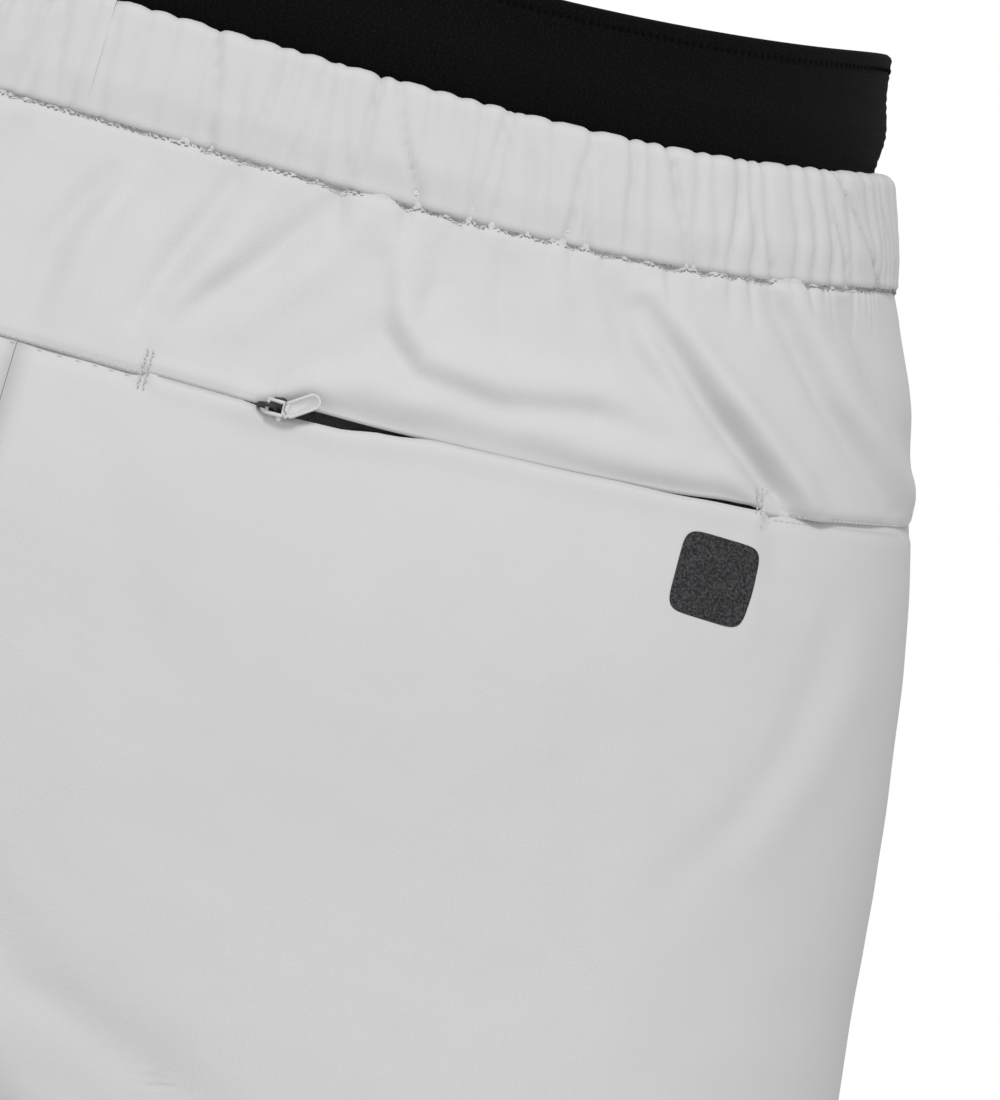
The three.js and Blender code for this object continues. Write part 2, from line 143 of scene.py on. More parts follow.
def legLoop(layer, drop):
    halfWidth = halfWidthAt(drop) - layer["inset"](drop)
    closing = clamp((drop - layer["crotch"] + form["seatLength"]) / form["seatLength"]) ** 3
    radius = halfWidth / (1 + closing)
    if drop > layer["crotch"]:
        down = ((drop - layer["crotch"]) / (layer["hem"] - layer["crotch"])) ** 0.7
        atCrotch = (halfWidthAt(layer["crotch"]) - layer["inset"](layer["crotch"])) / 2
        radius = lerp(atCrotch, layer["legRadius"], min(1, down))
    centre = halfWidth - radius
    openness = min(1, centre / radius)
    reach = math.acos(-(openness ** (form["roundness"] / 2)))
    return centre, radius, depthAt(drop) - layer["inset"](drop), reach, halfWidth


# turn runs from -1 at the centre back, through 0 at the side seam, to 1 at the centre front
def loopPoint(loop, turn):
    centre, radius, depth, reach, halfWidth = loop
    cos = math.cos(turn * reach)
    sin = math.sin(turn * reach)
    atCentre = abs(turn) > 0.9999 and reach < 3.1
    normalX = 0 if atCentre else signedPower(cos, 2 - power) / radius
    normalY = signedPower(sin, 2 - power) / depth
    length = math.hypot(normalX, normalY)
    x = centre + radius * signedPower(cos, power)
    return x, depth * signedPower(sin, power), normalX / length, normalY / length


# how far an edge rises towards the side seam, and dips at the front
def edgeLift(level, side, front):
    fade = 1 - smooth(level, form["yokeDrop"], form["linerCrotchDrop"])
    if fade == 0:
        return 0
    rise = lerp(form["waistSideRise"], form["yokeSideRise"], clamp(2 * level / form["yokeDrop"]))
    bend = side ** lerp(4, 3, clamp(level / form["yokeDrop"]))
    return fade * (rise * bend - (form["frontDip"] * (1 - bend) if front else 0))


# a point on a layer and the way out from it
def onForm(layer, turn, level):
    drop = level
    for step in range(3):
        loop = legLoop(layer, drop)
        side = clamp(loopPoint(loop, turn)[0] / loop[4])
        drop = level - edgeLift(level, side, turn > 0)
    x, y, normalX, normalY = loopPoint(legLoop(layer, drop), turn)
    return Vector((x, y, form["waistHeight"] - drop)), Vector((normalX, normalY, 0))


def place(layer, turn, level, inset=0.0):
    point, out = onForm(layer, turn, level)
    return point - out * inset


# a point behind the body at a distance x from its centre, on either side
def placeAtX(layer, x, level, inset=0.0):
    centre, radius, depth, reach, halfWidth = legLoop(layer, level)
    turn = -math.acos(signedPower((abs(x) - centre) / radius, 1 / power)) / reach
    point = place(layer, turn, level, inset)
    point.x = 0 if abs(x) < 0.01 else math.copysign(point.x, x)
    return point


# all the way round the waist: the angle runs from the right side seam by way of the front
def onWaist(layer, angle, level):
    left = math.cos(angle) < 0
    folded = math.pi - angle if left else angle
    turn = math.atan2(math.sin(folded), math.cos(folded)) / (math.pi / 2)
    point, out = onForm(layer, turn, level)
    if left:
        point.x, out.x = -point.x, -out.x
    return point, out


# a back piece that spans both sides: span runs from -1 at the left side seam to 1 at the right
def onBack(layer, span, level):
    point, out = onForm(layer, abs(span) - 1, level)
    if span < 0:
        point.x, out.x = -point.x, -out.x
    return point, out


# materials

kinds = {"Map": "Vector", "Cloth": "Color", "Shade": "Color", "Yarn": "Color", "Fleck": "Color",
         "Base": "Color", "Speck": "Color", "Color": "Color"}


# a new node group with its named inputs, their starting values, and its outputs
def startGroup(name, inputs, outputs):
    group = bpy.data.node_groups.new(name, "ShaderNodeTree")
    sockets = [(label, "INPUT", value) for label, value in inputs.items()]
    sockets += [(label, "OUTPUT", None) for label in outputs]
    for label, direction, value in sockets:
        kind = "NodeSocket" + kinds.get(label, "Float")
        item = group.interface.new_socket(label, in_out=direction, socket_type=kind)
        if value is not None:
            item.default_value = value
    return group, group.nodes.new("NodeGroupInput"), group.nodes.new("NodeGroupOutput")


def addNode(tree, kind, settings=None, **inputs):
    node = tree.nodes.new(kind)
    for key, value in (settings or {}).items():
        setattr(node, key, value)
    for key, value in inputs.items():
        target = node.inputs[int(key[1:]) if key[1:].isdigit() else key]
        if isinstance(value, bpy.types.NodeSocket):
            tree.links.new(value, target)
        else:
            target.default_value = value
    return node


def maths(tree, operation, a, b=0.0):
    return addNode(tree, "ShaderNodeMath", {"operation": operation}, i0=a, i1=b).outputs[0]


def mixColor(tree, factor, a, b):
    node = tree.nodes.new("ShaderNodeMix")
    node.data_type = "RGBA"
    for target, value in ((node.inputs[0], factor), (node.inputs[6], a), (node.inputs[7], b)):
        if isinstance(value, bpy.types.NodeSocket):
            tree.links.new(value, target)
        else:
            target.default_value = value
    return node.outputs[2]


# threads crossing at right angles over a soft mottle, in the piece's own cloth map
def makeWeaveGroup():
    group, start, end = startGroup(
        "crossedThreads", {"Map": None, "Cloth": None, "Shade": None, "Threads": 20.0,
                           "Mottle": 4.0}, ("Color", "Height"))
    split = addNode(group, "ShaderNodeSeparateXYZ", None, i0=start.outputs["Map"])
    waves = []
    for axis in (0, 1):
        turns = maths(group, "MULTIPLY", split.outputs[axis], start.outputs["Threads"])
        waves.append(maths(group, "SINE", maths(group, "MULTIPLY", turns, 2 * math.pi)))
    cross = maths(group, "MULTIPLY", waves[0], waves[1])
    mottle = addNode(group, "ShaderNodeTexNoise", None, Vector=start.outputs["Map"],
                     Scale=start.outputs["Mottle"], Detail=5.0, Roughness=0.6)
    fine = addNode(group, "ShaderNodeTexNoise", None, Vector=start.outputs["Map"],
                   Scale=start.outputs["Threads"], Detail=2.0)
    blend = maths(group, "ADD", maths(group, "MULTIPLY", mottle.outputs[0], 0.55),
                  maths(group, "MULTIPLY", fine.outputs[0], 0.45))
    group.links.new(mixColor(group, blend, start.outputs["Cloth"], start.outputs["Shade"]),
                    end.inputs["Color"])
    height = maths(group, "ADD", maths(group, "MULTIPLY", cross, 0.5), fine.outputs[0])
    group.links.new(height, end.inputs["Height"])
    return group


# rows of knitted loops with a brushed, heathered speckle
def makeKnitGroup():
    group, start, end = startGroup(
        "knittedLoops", {"Map": None, "Yarn": None, "Fleck": None, "Wales": 12.0},
        ("Color", "Height"))
    split = addNode(group, "ShaderNodeSeparateXYZ", None, i0=start.outputs["Map"])
    wale = maths(group, "MULTIPLY", split.outputs[0], start.outputs["Wales"])
    course = maths(group, "MULTIPLY", split.outputs[1], start.outputs["Wales"])
    legs = maths(group, "ABSOLUTE", maths(group, "SINE", maths(group, "MULTIPLY", wale, math.pi)))
    lean = maths(group, "ADD", maths(group, "MULTIPLY", course, 2 * math.pi),
                 maths(group, "MULTIPLY", legs, 2.0))
    loops = maths(group, "MULTIPLY", legs, maths(group, "ABSOLUTE", maths(group, "SINE", lean)))
    speck = addNode(group, "ShaderNodeTexNoise", None, Vector=start.outputs["Map"],
                    Scale=18.0, Detail=4.0, Roughness=0.7)
    shown = addNode(group, "ShaderNodeMapRange", None, Value=speck.outputs[0])
    shown.inputs["From Min"].default_value = 0.5
    shown.inputs["From Max"].default_value = 0.78
    mask = maths(group, "MULTIPLY", shown.outputs[0], maths(group, "ADD", loops, 0.35))
    group.links.new(mixColor(group, mask, start.outputs["Yarn"], start.outputs["Fleck"]),
                    end.inputs["Color"])
    height = maths(group, "ADD", loops, maths(group, "MULTIPLY", speck.outputs[0], 0.6))
    group.links.new(height, end.inputs["Height"])
    return group


# fine grain for moulded plastic, paint and print, on object coordinates
def makeGrainGroup():
    group, start, end = startGroup(
        "surfaceGrain", {"Map": None, "Base": None, "Speck": None, "Scale": 2000.0,
                         "Roughness": 0.5}, ("Color", "Rough", "Height"))
    grain = addNode(group, "ShaderNodeTexNoise", None, Vector=start.outputs["Map"],
                    Scale=start.outputs["Scale"], Detail=4.0, Roughness=0.65)
    ramp = addNode(group, "ShaderNodeMapRange", None, Value=grain.outputs[0])
    ramp.inputs["From Min"].default_value = 0.42
    ramp.inputs["From Max"].default_value = 0.66
    group.links.new(mixColor(group, ramp.outputs[0], start.outputs["Base"], start.outputs["Speck"]),
                    end.inputs["Color"])
    rough = maths(group, "ADD", start.outputs["Roughness"],
                  maths(group, "MULTIPLY", maths(group, "SUBTRACT", grain.outputs[0], 0.5), 0.3))
    group.links.new(rough, end.inputs["Rough"])
    group.links.new(grain.outputs[0], end.inputs["Height"])
    return group


weaveGroup = makeWeaveGroup()
knitGroup = makeKnitGroup()
grainGroup = makeGrainGroup()


def startMaterial(name, roughness, metallic=0.0, sheen=0.0, shine=0.3):
    material = bpy.data.materials.new(name)
    material.use_nodes = True
    shader = material.node_tree.nodes["Principled BSDF"]
    shader.inputs["Roughness"].default_value = roughness
    shader.inputs["Metallic"].default_value = metallic
    shader.inputs["Specular IOR Level"].default_value = shine
    shader.inputs["Sheen Weight"].default_value = sheen
    shader.inputs["Sheen Roughness"].default_value = 0.5
    return material, material.node_tree, shader


def bumpFrom(tree, height, distance, strength):
    bump = addNode(tree, "ShaderNodeBump", None, Height=height)
    bump.inputs["Strength"].default_value = strength
    bump.inputs["Distance"].default_value = distance
    return bump.outputs["Normal"]


def groupNode(tree, group):
    node = tree.nodes.new("ShaderNodeGroup")
    node.node_tree = group
    return node


# a finish: a group's pattern on the cloth map, in centimetres, or on object coordinates
def patternMaterial(name, group, values, colors, numbers, onCloth=True):
    material, tree, shader = startMaterial(
        name, values["roughness"], values.get("metallic", 0.0), values.get("sheen", 0.0),
        values.get("shine", 0.3))
    if onCloth:
        here = addNode(tree, "ShaderNodeUVMap", {"uv_map": "cloth"}).outputs[0]
    else:
        here = addNode(tree, "ShaderNodeTexCoord").outputs["Object"]
    pattern = groupNode(tree, group)
    tree.links.new(here, pattern.inputs["Map"])
    for key in colors:
        pattern.inputs[key.capitalize()].default_value = (*values[key], 1)
    for key in numbers:
        pattern.inputs[key.capitalize()].default_value = values[key]
    tree.links.new(pattern.outputs["Color"], shader.inputs["Base Color"])
    if "Rough" in pattern.outputs:
        tree.links.new(pattern.outputs["Rough"], shader.inputs["Roughness"])
    normal = bumpFrom(tree, pattern.outputs["Height"], values["depth"], values["strength"])
    tree.links.new(normal, shader.inputs["Normal"])
    return material


def wovenMaterial(name, values):
    return patternMaterial(name, weaveGroup, values, ("cloth", "shade"), ("threads", "mottle"))


def knitMaterial(name, values):
    return patternMaterial(name, knitGroup, values, ("yarn", "fleck"), ("wales",))


def grainMaterial(name, values):
    return patternMaterial(name, grainGroup, values, ("base", "speck"), ("scale", "roughness"),
                           onCloth=False)


shellCloth = wovenMaterial("shellCloth", {
    "cloth": (0.515, 0.515, 0.515), "shade": (0.485, 0.485, 0.485), "roughness": 0.72,
    "sheen": 0.05, "threads": 22.0, "mottle": 1.4, "depth": 0.00006, "strength": 0.35})
pocketCloth = wovenMaterial("pocketCloth", {
    "cloth": (0.50, 0.50, 0.50), "shade": (0.42, 0.42, 0.43), "roughness": 0.85, "sheen": 0.05,
    "threads": 9.0, "mottle": 3.0, "depth": 0.0002, "strength": 0.7})
elasticCloth = wovenMaterial("elasticCloth", {
    "cloth": (0.78, 0.78, 0.75), "shade": (0.66, 0.66, 0.63), "roughness": 0.8, "sheen": 0.05,
    "threads": 7.0, "mottle": 3.0, "depth": 0.0003, "strength": 0.8})
labelCloth = wovenMaterial("labelCloth", {
    "cloth": (0.88, 0.88, 0.86), "shade": (0.80, 0.80, 0.78), "roughness": 0.45, "sheen": 0.0,
    "threads": 18.0, "mottle": 4.0, "depth": 0.0001, "strength": 0.5})
linerKnit = knitMaterial("linerKnit", {
    "yarn": (0.004, 0.004, 0.005), "fleck": (0.024, 0.025, 0.027), "roughness": 0.8,
    "shine": 0.1, "sheen": 0.08, "wales": 9.0, "depth": 0.0003, "strength": 0.8})
bandKnit = knitMaterial("bandKnit", {
    "yarn": (0.002, 0.002, 0.0022), "fleck": (0.021, 0.021, 0.022), "roughness": 0.9,
    "shine": 0.05, "sheen": 0.02, "wales": 14.0, "depth": 0.0002, "strength": 0.8})
coverKnit = knitMaterial("coverKnit", {
    "yarn": (0.008, 0.008, 0.009), "fleck": (0.04, 0.041, 0.045), "roughness": 0.75,
    "shine": 0.15, "sheen": 0.08, "wales": 5.0, "depth": 0.0005, "strength": 0.9})
bandYarn = grainMaterial("bandYarn", {
    "base": (0.001, 0.001, 0.001), "speck": (0.004, 0.004, 0.004), "roughness": 0.9, "shine": 0.05,
    "scale": 2500.0, "depth": 0.0001, "strength": 0.5})
paleThread = grainMaterial("paleThread", {
    "base": (0.52, 0.52, 0.52), "speck": (0.42, 0.42, 0.42), "roughness": 0.7,
    "scale": 3000.0, "depth": 0.0001, "strength": 0.6})
tackThread = grainMaterial("tackThread", {
    "base": (0.50, 0.50, 0.50), "speck": (0.36, 0.36, 0.36), "roughness": 0.75,
    "scale": 3000.0, "depth": 0.0001, "strength": 0.6})
# dark grey stitches for the casing seam: the darkness is painted shade of the stitch holes
seamThreadPaintedShade = grainMaterial("seamThreadPaintedShade", {
    "base": (0.26, 0.26, 0.26), "speck": (0.12, 0.12, 0.12), "roughness": 0.8,
    "scale": 3000.0, "depth": 0.0001, "strength": 0.6})
coilPlastic = grainMaterial("coilPlastic", {
    "base": (0.34, 0.34, 0.35), "speck": (0.26, 0.26, 0.27), "roughness": 0.45,
    "scale": 2000.0, "depth": 0.00005, "strength": 0.4})
sliderPaint = grainMaterial("sliderPaint", {
    "base": (0.030, 0.031, 0.034), "speck": (0.055, 0.057, 0.06), "roughness": 0.38,
    "metallic": 0.6, "scale": 4000.0, "depth": 0.00004, "strength": 0.4})
pullRubber = grainMaterial("pullRubber", {
    "base": (0.50, 0.50, 0.50), "speck": (0.45, 0.45, 0.45), "roughness": 0.55,
    "scale": 2500.0, "depth": 0.00005, "strength": 0.5})
markInk = grainMaterial("markInk", {
    "base": (0.010, 0.010, 0.011), "speck": (0.060, 0.061, 0.064), "roughness": 0.6, "shine": 0.15,
    "scale": 1700.0, "depth": 0.00005, "strength": 0.5})
padFoam = grainMaterial("padFoam", {
    "base": (0.055, 0.058, 0.064), "speck": (0.09, 0.094, 0.10), "roughness": 0.8,
    "scale": 1200.0, "depth": 0.0003, "strength": 0.7})
print("materials made")


# making pieces

# a fine grid laid where spot says, with its cloth map in centimetres
def clothGrid(columns, rows, width, height, spot):
    grid = bmesh.new()
    bmesh.ops.create_grid(grid, x_segments=columns, y_segments=rows, size=0.5)
    clothMap = grid.loops.layers.uv.new("cloth")
    for face in grid.faces:
        for loop in face.loops:
            across, up, _ = loop.vert.co
            loop[clothMap].uv = ((across + 0.5) * width, (up + 0.5) * height)
    for vert in grid.verts:
        vert.co = spot(vert.co.x + 0.5, vert.co.y + 0.5) * mm
    return grid


# joins a sheet's meeting edges into a ring
def closeRing(sheet, outward=True):
    bmesh.ops.remove_doubles(sheet, verts=sheet.verts[:], dist=0.01 * mm)
    if outward:
        bmesh.ops.recalc_face_normals(sheet, faces=sheet.faces[:])
    return sheet


# a strip of cloth whose cross-section is profile, laid round by spotOn(across, level, outward)
def profileRing(columns, profile, width, height, spotOn):
    rows = len(profile) - 1

    def spot(across, around):
        return spotOn(across, *profile[round(around * rows)])

    return closeRing(clothGrid(columns, rows, width, height, spot))


def addPiece(name, shape, material, replaced=(), body="shorts", wall=0, flip=False):
    if flip:
        bmesh.ops.reverse_faces(shape, faces=shape.faces[:])
    mesh = bpy.data.meshes.new(name)
    shape.to_mesh(mesh)
    shape.free()
    mesh.materials.append(material)
    mesh.polygons.foreach_set("use_smooth", [True] * len(mesh.polygons))
    piece = bpy.data.objects.new(name, mesh)
    bpy.context.scene.collection.objects.link(piece)
    if wall:
        thickness = piece.modifiers.new("wall", "SOLIDIFY")
        thickness.thickness = wall * mm
        thickness.offset = -1
    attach(piece, body)
    if replaced:
        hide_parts(*replaced)
    return piece


# many small beads in one mesh, made a few at a time: each is a transform of a unit ball
def beads(transforms, segments, rings):
    whole = bmesh.new()
    scratch = bpy.data.meshes.new("beads")
    for start in range(0, len(transforms), 40):
        few = bmesh.new()
        for transform in transforms[start:start + 40]:
            bmesh.ops.create_uvsphere(few, u_segments=segments, v_segments=rings, radius=1,
                                      matrix=transform)
        few.to_mesh(scratch)
        few.free()
        whole.from_mesh(scratch)
    bpy.data.meshes.remove(scratch)
    return whole


def turnedTo(spot, axes, sizes):
    turned = Matrix(axes).transposed().to_4x4()
    scaled = Matrix.Diagonal((*(size * mm for size in sizes), 1))
    return Matrix.Translation(spot * mm) @ turned @ scaled


# short thread ends: each is a slim grain lying along its direction
def addStitches(name, stitches, material, size, replaced=()):
    grains = []
    for point, way, out in stitches:
        way = way.normalized()
        side = out.cross(way).normalized()
        grains.append(turnedTo(point, (way, side, way.cross(side)), [part / 2 for part in size]))
    return addPiece(name, beads(grains, 6, 4), material, replaced)


# a run of stitches along a line of spots, with a step between them
def stitchRun(spotAt, length, step):
    run = []
    count = int(length / step)
    for i in range(count):
        share = (i + 0.5) / count
        here, out = spotAt(share)
        there, _ = spotAt(min(1, share + 0.2 / length))
        run.append((here, (there - here).normalized(), out))
    return run


def nearLine(line, x, drop):
    best, share = 1e9, 0
    for i in range(len(line) - 1):
        (ax, ay), (bx, by) = line[i], line[i + 1]
        dx, dy = bx - ax, by - ay
        t = clamp(((x - ax) * dx + (drop - ay) * dy) / (dx * dx + dy * dy))
        distance = math.hypot(x - ax - t * dx, drop - ay - t * dy)
        if distance < best:
            best, share = distance, (i + t) / (len(line) - 1)
    return best, share


# Folds are listed as (line of (x, drop) spots, lift, width): a ridge where the lift is positive.
def foldLift(folds, x, drop):
    total = 0
    for line, lift, width in folds:
        reach = 3 * width
        if not (min(p[0] for p in line) - reach < x < max(p[0] for p in line) + reach):
            continue
        if not (min(p[1] for p in line) - reach < drop < max(p[1] for p in line) + reach):
            continue
        distance, share = nearLine(line, x, drop)
        fade = math.sin(math.pi * lerp(0.06, 0.94, share))
        total += lift * bell(distance, width) * math.sqrt(max(0, fade))
    return total


def ripple(x, drop, size, seed):
    return noise.noise(Vector((x / size, drop / size, seed)))


def along(table, x):
    for (ax, ay), (bx, by) in zip(table, table[1:]):
        if x <= bx:
            return lerp(ay, by, smooth(x, ax, bx)) if x > ax else ay
    return table[-1][1]


gatherLevel = 13  # the waist is measured half way down its casing


# Distance round the waist, from the centre back towards the right, against the angle.
def waistTable(level, steps):
    table, length = [], 0
    last = None
    for i in range(steps + 1):
        angle = -math.pi / 2 + i * 2 * math.pi / steps
        point, _ = onWaist(shell, angle, level)
        if last is not None:
            length += (point - last).length
        table.append((length, angle))
        last = point
    return table


waistLengths = waistTable(gatherLevel, 720)
waistGirth = waistLengths[-1][0]


def waistAngle(length):
    length %= waistGirth
    low, high = 0, len(waistLengths) - 1
    while high - low > 1:
        middle = (low + high) // 2
        if waistLengths[middle][0] <= length:
            low = middle
        else:
            high = middle
    (startLength, startAngle), (endLength, endAngle) = waistLengths[low], waistLengths[high]
    return lerp(startAngle, endAngle, (length - startLength) / (endLength - startLength))


# the distance round the waist at which the back stands at x from its centre
def waistLengthAtX(x):
    low, high = 0.0, waistGirth / 4
    for step in range(24):
        middle = (low + high) / 2
        point, _ = onWaist(shell, waistAngle(middle), gatherLevel)
        low, high = (middle, high) if point.x < x else (low, middle)
    return low


# gathers of the waist

gathers = {
    "seed": 7,
    "meanGap": 4.6,
    "gapSpread": 2.1,
    "slant": 3.2,
    "strong": [(24, 29, 1.0), (62, 60, 0.9), (67, 74, 1.0), (129, 134, 0.9), (151, 152, 0.8),
               (167, 176, 1.0)],
    "clearOfStrong": 2.6,
    "width": 0.62,
}


# Each pleat: where it starts at the top, where it ends at the bottom, its strength, its reach
# into the yoke below and the phase of its wander.
def makePleats():
    dice = random.Random(gathers["seed"])
    pleats = []
    for top, bottom, strength in gathers["strong"]:
        phase = dice.uniform(0, 6)
        pleats.append((waistLengthAtX(top), waistLengthAtX(bottom), strength, 16, phase))
    strongSpots = [(top + bottom) / 2 for top, bottom, *_ in pleats]
    position = 2.0
    while position < waistGirth - 3:
        slant = dice.gauss(0, gathers["slant"])
        strength = dice.choice((0.25, 0.35, 0.45, 0.6, 0.8))
        reach = dice.uniform(4, 15)
        phase = dice.uniform(0, 6)
        if min(abs(position - spot) for spot in strongSpots) > gathers["clearOfStrong"]:
            pleats.append((position - slant / 2, position + slant / 2, strength, reach, phase))
        position += max(2.6, dice.gauss(gathers["meanGap"], gathers["gapSpread"]))
    pleats.sort(key=lambda pleat: pleat[0] + pleat[1])
    return pleats


pleats = makePleats()
pleatMiddles = [(pleat[0] + pleat[1]) / 2 for pleat in pleats]


def nearPleats(length, reach):
    low, high = 0, len(pleats)
    while low < high:
        middle = (low + high) // 2
        if pleatMiddles[middle] < length - reach:
            low = middle + 1
        else:
            high = middle
    while low < len(pleats) and pleatMiddles[low] < length + reach:
        yield pleats[low]
        low += 1


# how deep the cloth is nipped at a distance round the waist: down runs from 0 at the casing's
# top to 1 at its seam, and on below it
def pleatDepth(length, down):
    nip, puff = 0.0, 1.0
    for top, bottom, strength, reach, phase in nearPleats(length, 14):
        wander = 0.55 * math.sin(phase + 3.4 * down) + 0.3 * math.sin(2 * phase + 8.1 * down)
        distance = abs(length - lerp(top, bottom, down) - wander)
        vary = strength * (0.7 + 0.3 * math.sin(phase + 5 * down))
        nip = max(nip, vary * math.exp(-(distance / gathers["width"]) ** 1.3))
        puff = min(puff, distance / 2.4)
    return nip, puff


# waistband casing

casing = {"columns": 1020, "outer": 2.4, "inner": 2.1, "fold": 2.3, "nip": 1.35, "puff": 0.5,
          "scallop": 0.8, "bottom": 26.5, "taper": 1.3}


# spots of the folded casing, as (level, outward), starting and ending at its lower inner edge
def casingProfile():
    outer, inner, fold, bottom = casing["outer"], -casing["inner"], casing["fold"], casing["bottom"]
    spots = [(bottom, -0.2), (bottom, 0.9), (bottom - 0.5, outer - 0.5), (bottom - 1.3, outer)]
    spots += [(lerp(bottom - 1.3, fold, (i + 1) / 25), outer) for i in range(25)]
    middle, radius = (outer + inner) / 2, (outer - inner) / 2
    for i in range(1, 9):
        turn = i / 9 * math.pi
        spots.append((fold - fold * math.sin(turn), middle + radius * math.cos(turn)))
    spots += [(lerp(fold, bottom, i / 8), inner) for i in range(9)]
    spots += [(bottom, lerp(inner, -0.2, 0.5)), (bottom, -0.2)]
    return spots


def makeCasing():
    def spotOn(across, level, outward):
        length = across * waistGirth
        down = clamp(level / casing["bottom"])
        nip, puff = pleatDepth(length, down)
        facing = smooth(outward, -1.0, 1.6)
        top = 1 - smooth(level, 0, 5)
        swell = 0.5 * math.sin(math.pi * down) + 0.5 * ripple(length, level * 1.2, 15, 3.1)
        swell -= casing["taper"] * smooth(down, 0.62, 1.0)
        outward += facing * (casing["puff"] * puff - casing["nip"] * nip + swell)
        wave = 0.3 * ripple(length, 0, 26, 8)
        level += top * casing["scallop"] * (0.9 * nip - 0.55 * puff + wave)
        point, out = onWaist(shell, waistAngle(length), level)
        return point + out * outward

    ring = profileRing(casing["columns"], casingProfile(), waistGirth / 10, 6, spotOn)
    addPiece("gathered_casing", ring, shellCloth, ["waistband_casing"])


makeCasing()
print("casing made")


# back yoke

pocket = {
    "inner": 29, "outer": 170.2,
    # how far the lower lip stands above the seam line, by x
    "lip": [(50, 0.0), (60.7, -1.0), (72.5, -0.8), (84, 0.6), (96, 1.9), (110, 1.9), (133, 1.6),
            (155, 0.7), (170, 0.0)],
    # how far the yoke's edge stands above the seam line
    "edge": [(55, 0.0), (59, 1.0), (66, 1.7), (84, 1.5), (96, 1.5), (133, 1.3), (150, 1.0),
             (160, 1.2), (166, 0.9), (170, 0.0)],
    # the yoke swells above the mouth and slopes in to it: how high and how far out, by x
    "slopeHeight": [(57, 2.5), (66, 6), (80, 9), (98, 11), (112, 10), (135, 7), (158, 6), (170, 3)],
    "slopeOut": [(57, 0.4), (66, 1.5), (80, 2.3), (98, 2.6), (112, 2.3), (135, 1.7), (158, 1.7),
                 (170, 0.3)],
    "edgeIn": 0.45,
    "sliderCover": 1.0,
}


# over the parked slider both lips stand proud and hide its meshed end
def sliderCover(x):
    return pocket["sliderCover"] * smooth(x, 46, 51) * (1 - smooth(x, 56.4, 58))


# folds of the cloth behind the right hip, as (x, drop) lines, lift and width in millimetres
yokeFolds = [
    ([(9.3, 38), (4, 48), (1, 55.7), (0.5, 76.6)], -0.9, 3.0),
    ([(15, 36), (10, 50), (8, 70)], 0.6, 3.5),
    ([(36.9, 29), (30, 48), (23.3, 66.9)], -0.8, 3.2),
    ([(46, 29), (38, 48), (29, 66)], 0.55, 4.0),
    ([(60.2, 28), (48, 46), (32.1, 64.4)], -0.75, 3.4),
    ([(68, 28), (60, 44), (44, 64)], 0.5, 4.5),
    ([(75.5, 36), (79, 48), (87.6, 56), (105, 57), (127.8, 53.5), (144.7, 56.4)], 1.0, 4.5),
    ([(73, 40), (77, 54), (86, 62.5), (106, 63.5), (126, 60)], -0.8, 3.2),
    ([(120.7, 28), (130, 42), (146, 56)], -0.6, 3.2),
    ([(127, 28), (138, 42), (152, 55)], 0.5, 4.0),
    ([(134, 29), (153.9, 45.2), (174.1, 60.1), (181.5, 66.8)], 1.5, 3.6),
    ([(131, 33), (150, 49.5), (170, 64), (178, 69)], -1.3, 2.8),
    ([(155.2, 20), (176, 42), (198.3, 61.1)], -1.0, 2.8),
    ([(160, 18), (182, 40), (202, 56)], 0.8, 3.4),
    ([(175, 20), (188, 36), (199.8, 49.7)], -0.9, 2.8),
    ([(98, 29), (100, 40), (104, 50)], -0.45, 3.0),
    ([(108, 28), (112, 38), (117, 50)], 0.4, 3.6),
    ([(84, 29), (86, 40), (84, 50)], -0.4, 2.6),
    ([(-14, 34), (-20, 52), (-30, 74)], -0.8, 3.2),
    ([(-40, 30), (-48, 48), (-66, 70)], -0.9, 3.4),
    ([(-74, 29), (-90, 46), (-112, 62)], 0.9, 4.2),
    ([(-70, 30), (-84, 50), (-104, 68)], -0.8, 3.0),
    ([(-118, 28), (-136, 44), (-158, 62)], -0.9, 3.2),
    ([(-128, 26), (-148, 42), (-172, 58)], 1.0, 4.0),
    ([(-158, 20), (-180, 40), (-198, 60)], -0.9, 3.0),
]

yoke = {"columns": 560, "rows": 60, "wall": 0.8, "top": 25.2, "bulge": 0.7, "edgeRoll": 0.9,
        "rollWidth": 1.4, "lap": 0.9, "ripple": 0.55, "seamRise": 0.8, "foldScale": 2.4}


def inPocket(x):
    return smooth(x, pocket["inner"] - 1.5, pocket["inner"] + 1.5) \
        * (1 - smooth(x, pocket["outer"] - 1.5, pocket["outer"] + 1.5))


def yokeOut(x, drop, level, length):
    out = yoke["bulge"] * math.sin(math.pi * clamp((level - 26) / 52))
    out += yoke["foldScale"] * foldLift(yokeFolds, x, drop)
    out += yoke["ripple"] * ripple(x, drop, 24, 1.7) + 0.3 * ripple(x, drop, 9, 5.2)
    below = level - 26.5
    for top, bottom, strength, reach, phase in nearPleats(length, 9):
        if below < reach:
            distance = abs(length - bottom - 0.4 * math.sin(phase + 3.4 + 0.2 * below))
            nip = strength * math.exp(-(distance / (1.0 + below * 0.06)) ** 1.3)
            out -= 1.25 * nip * (1 - smooth(below, 0, reach))
    return out


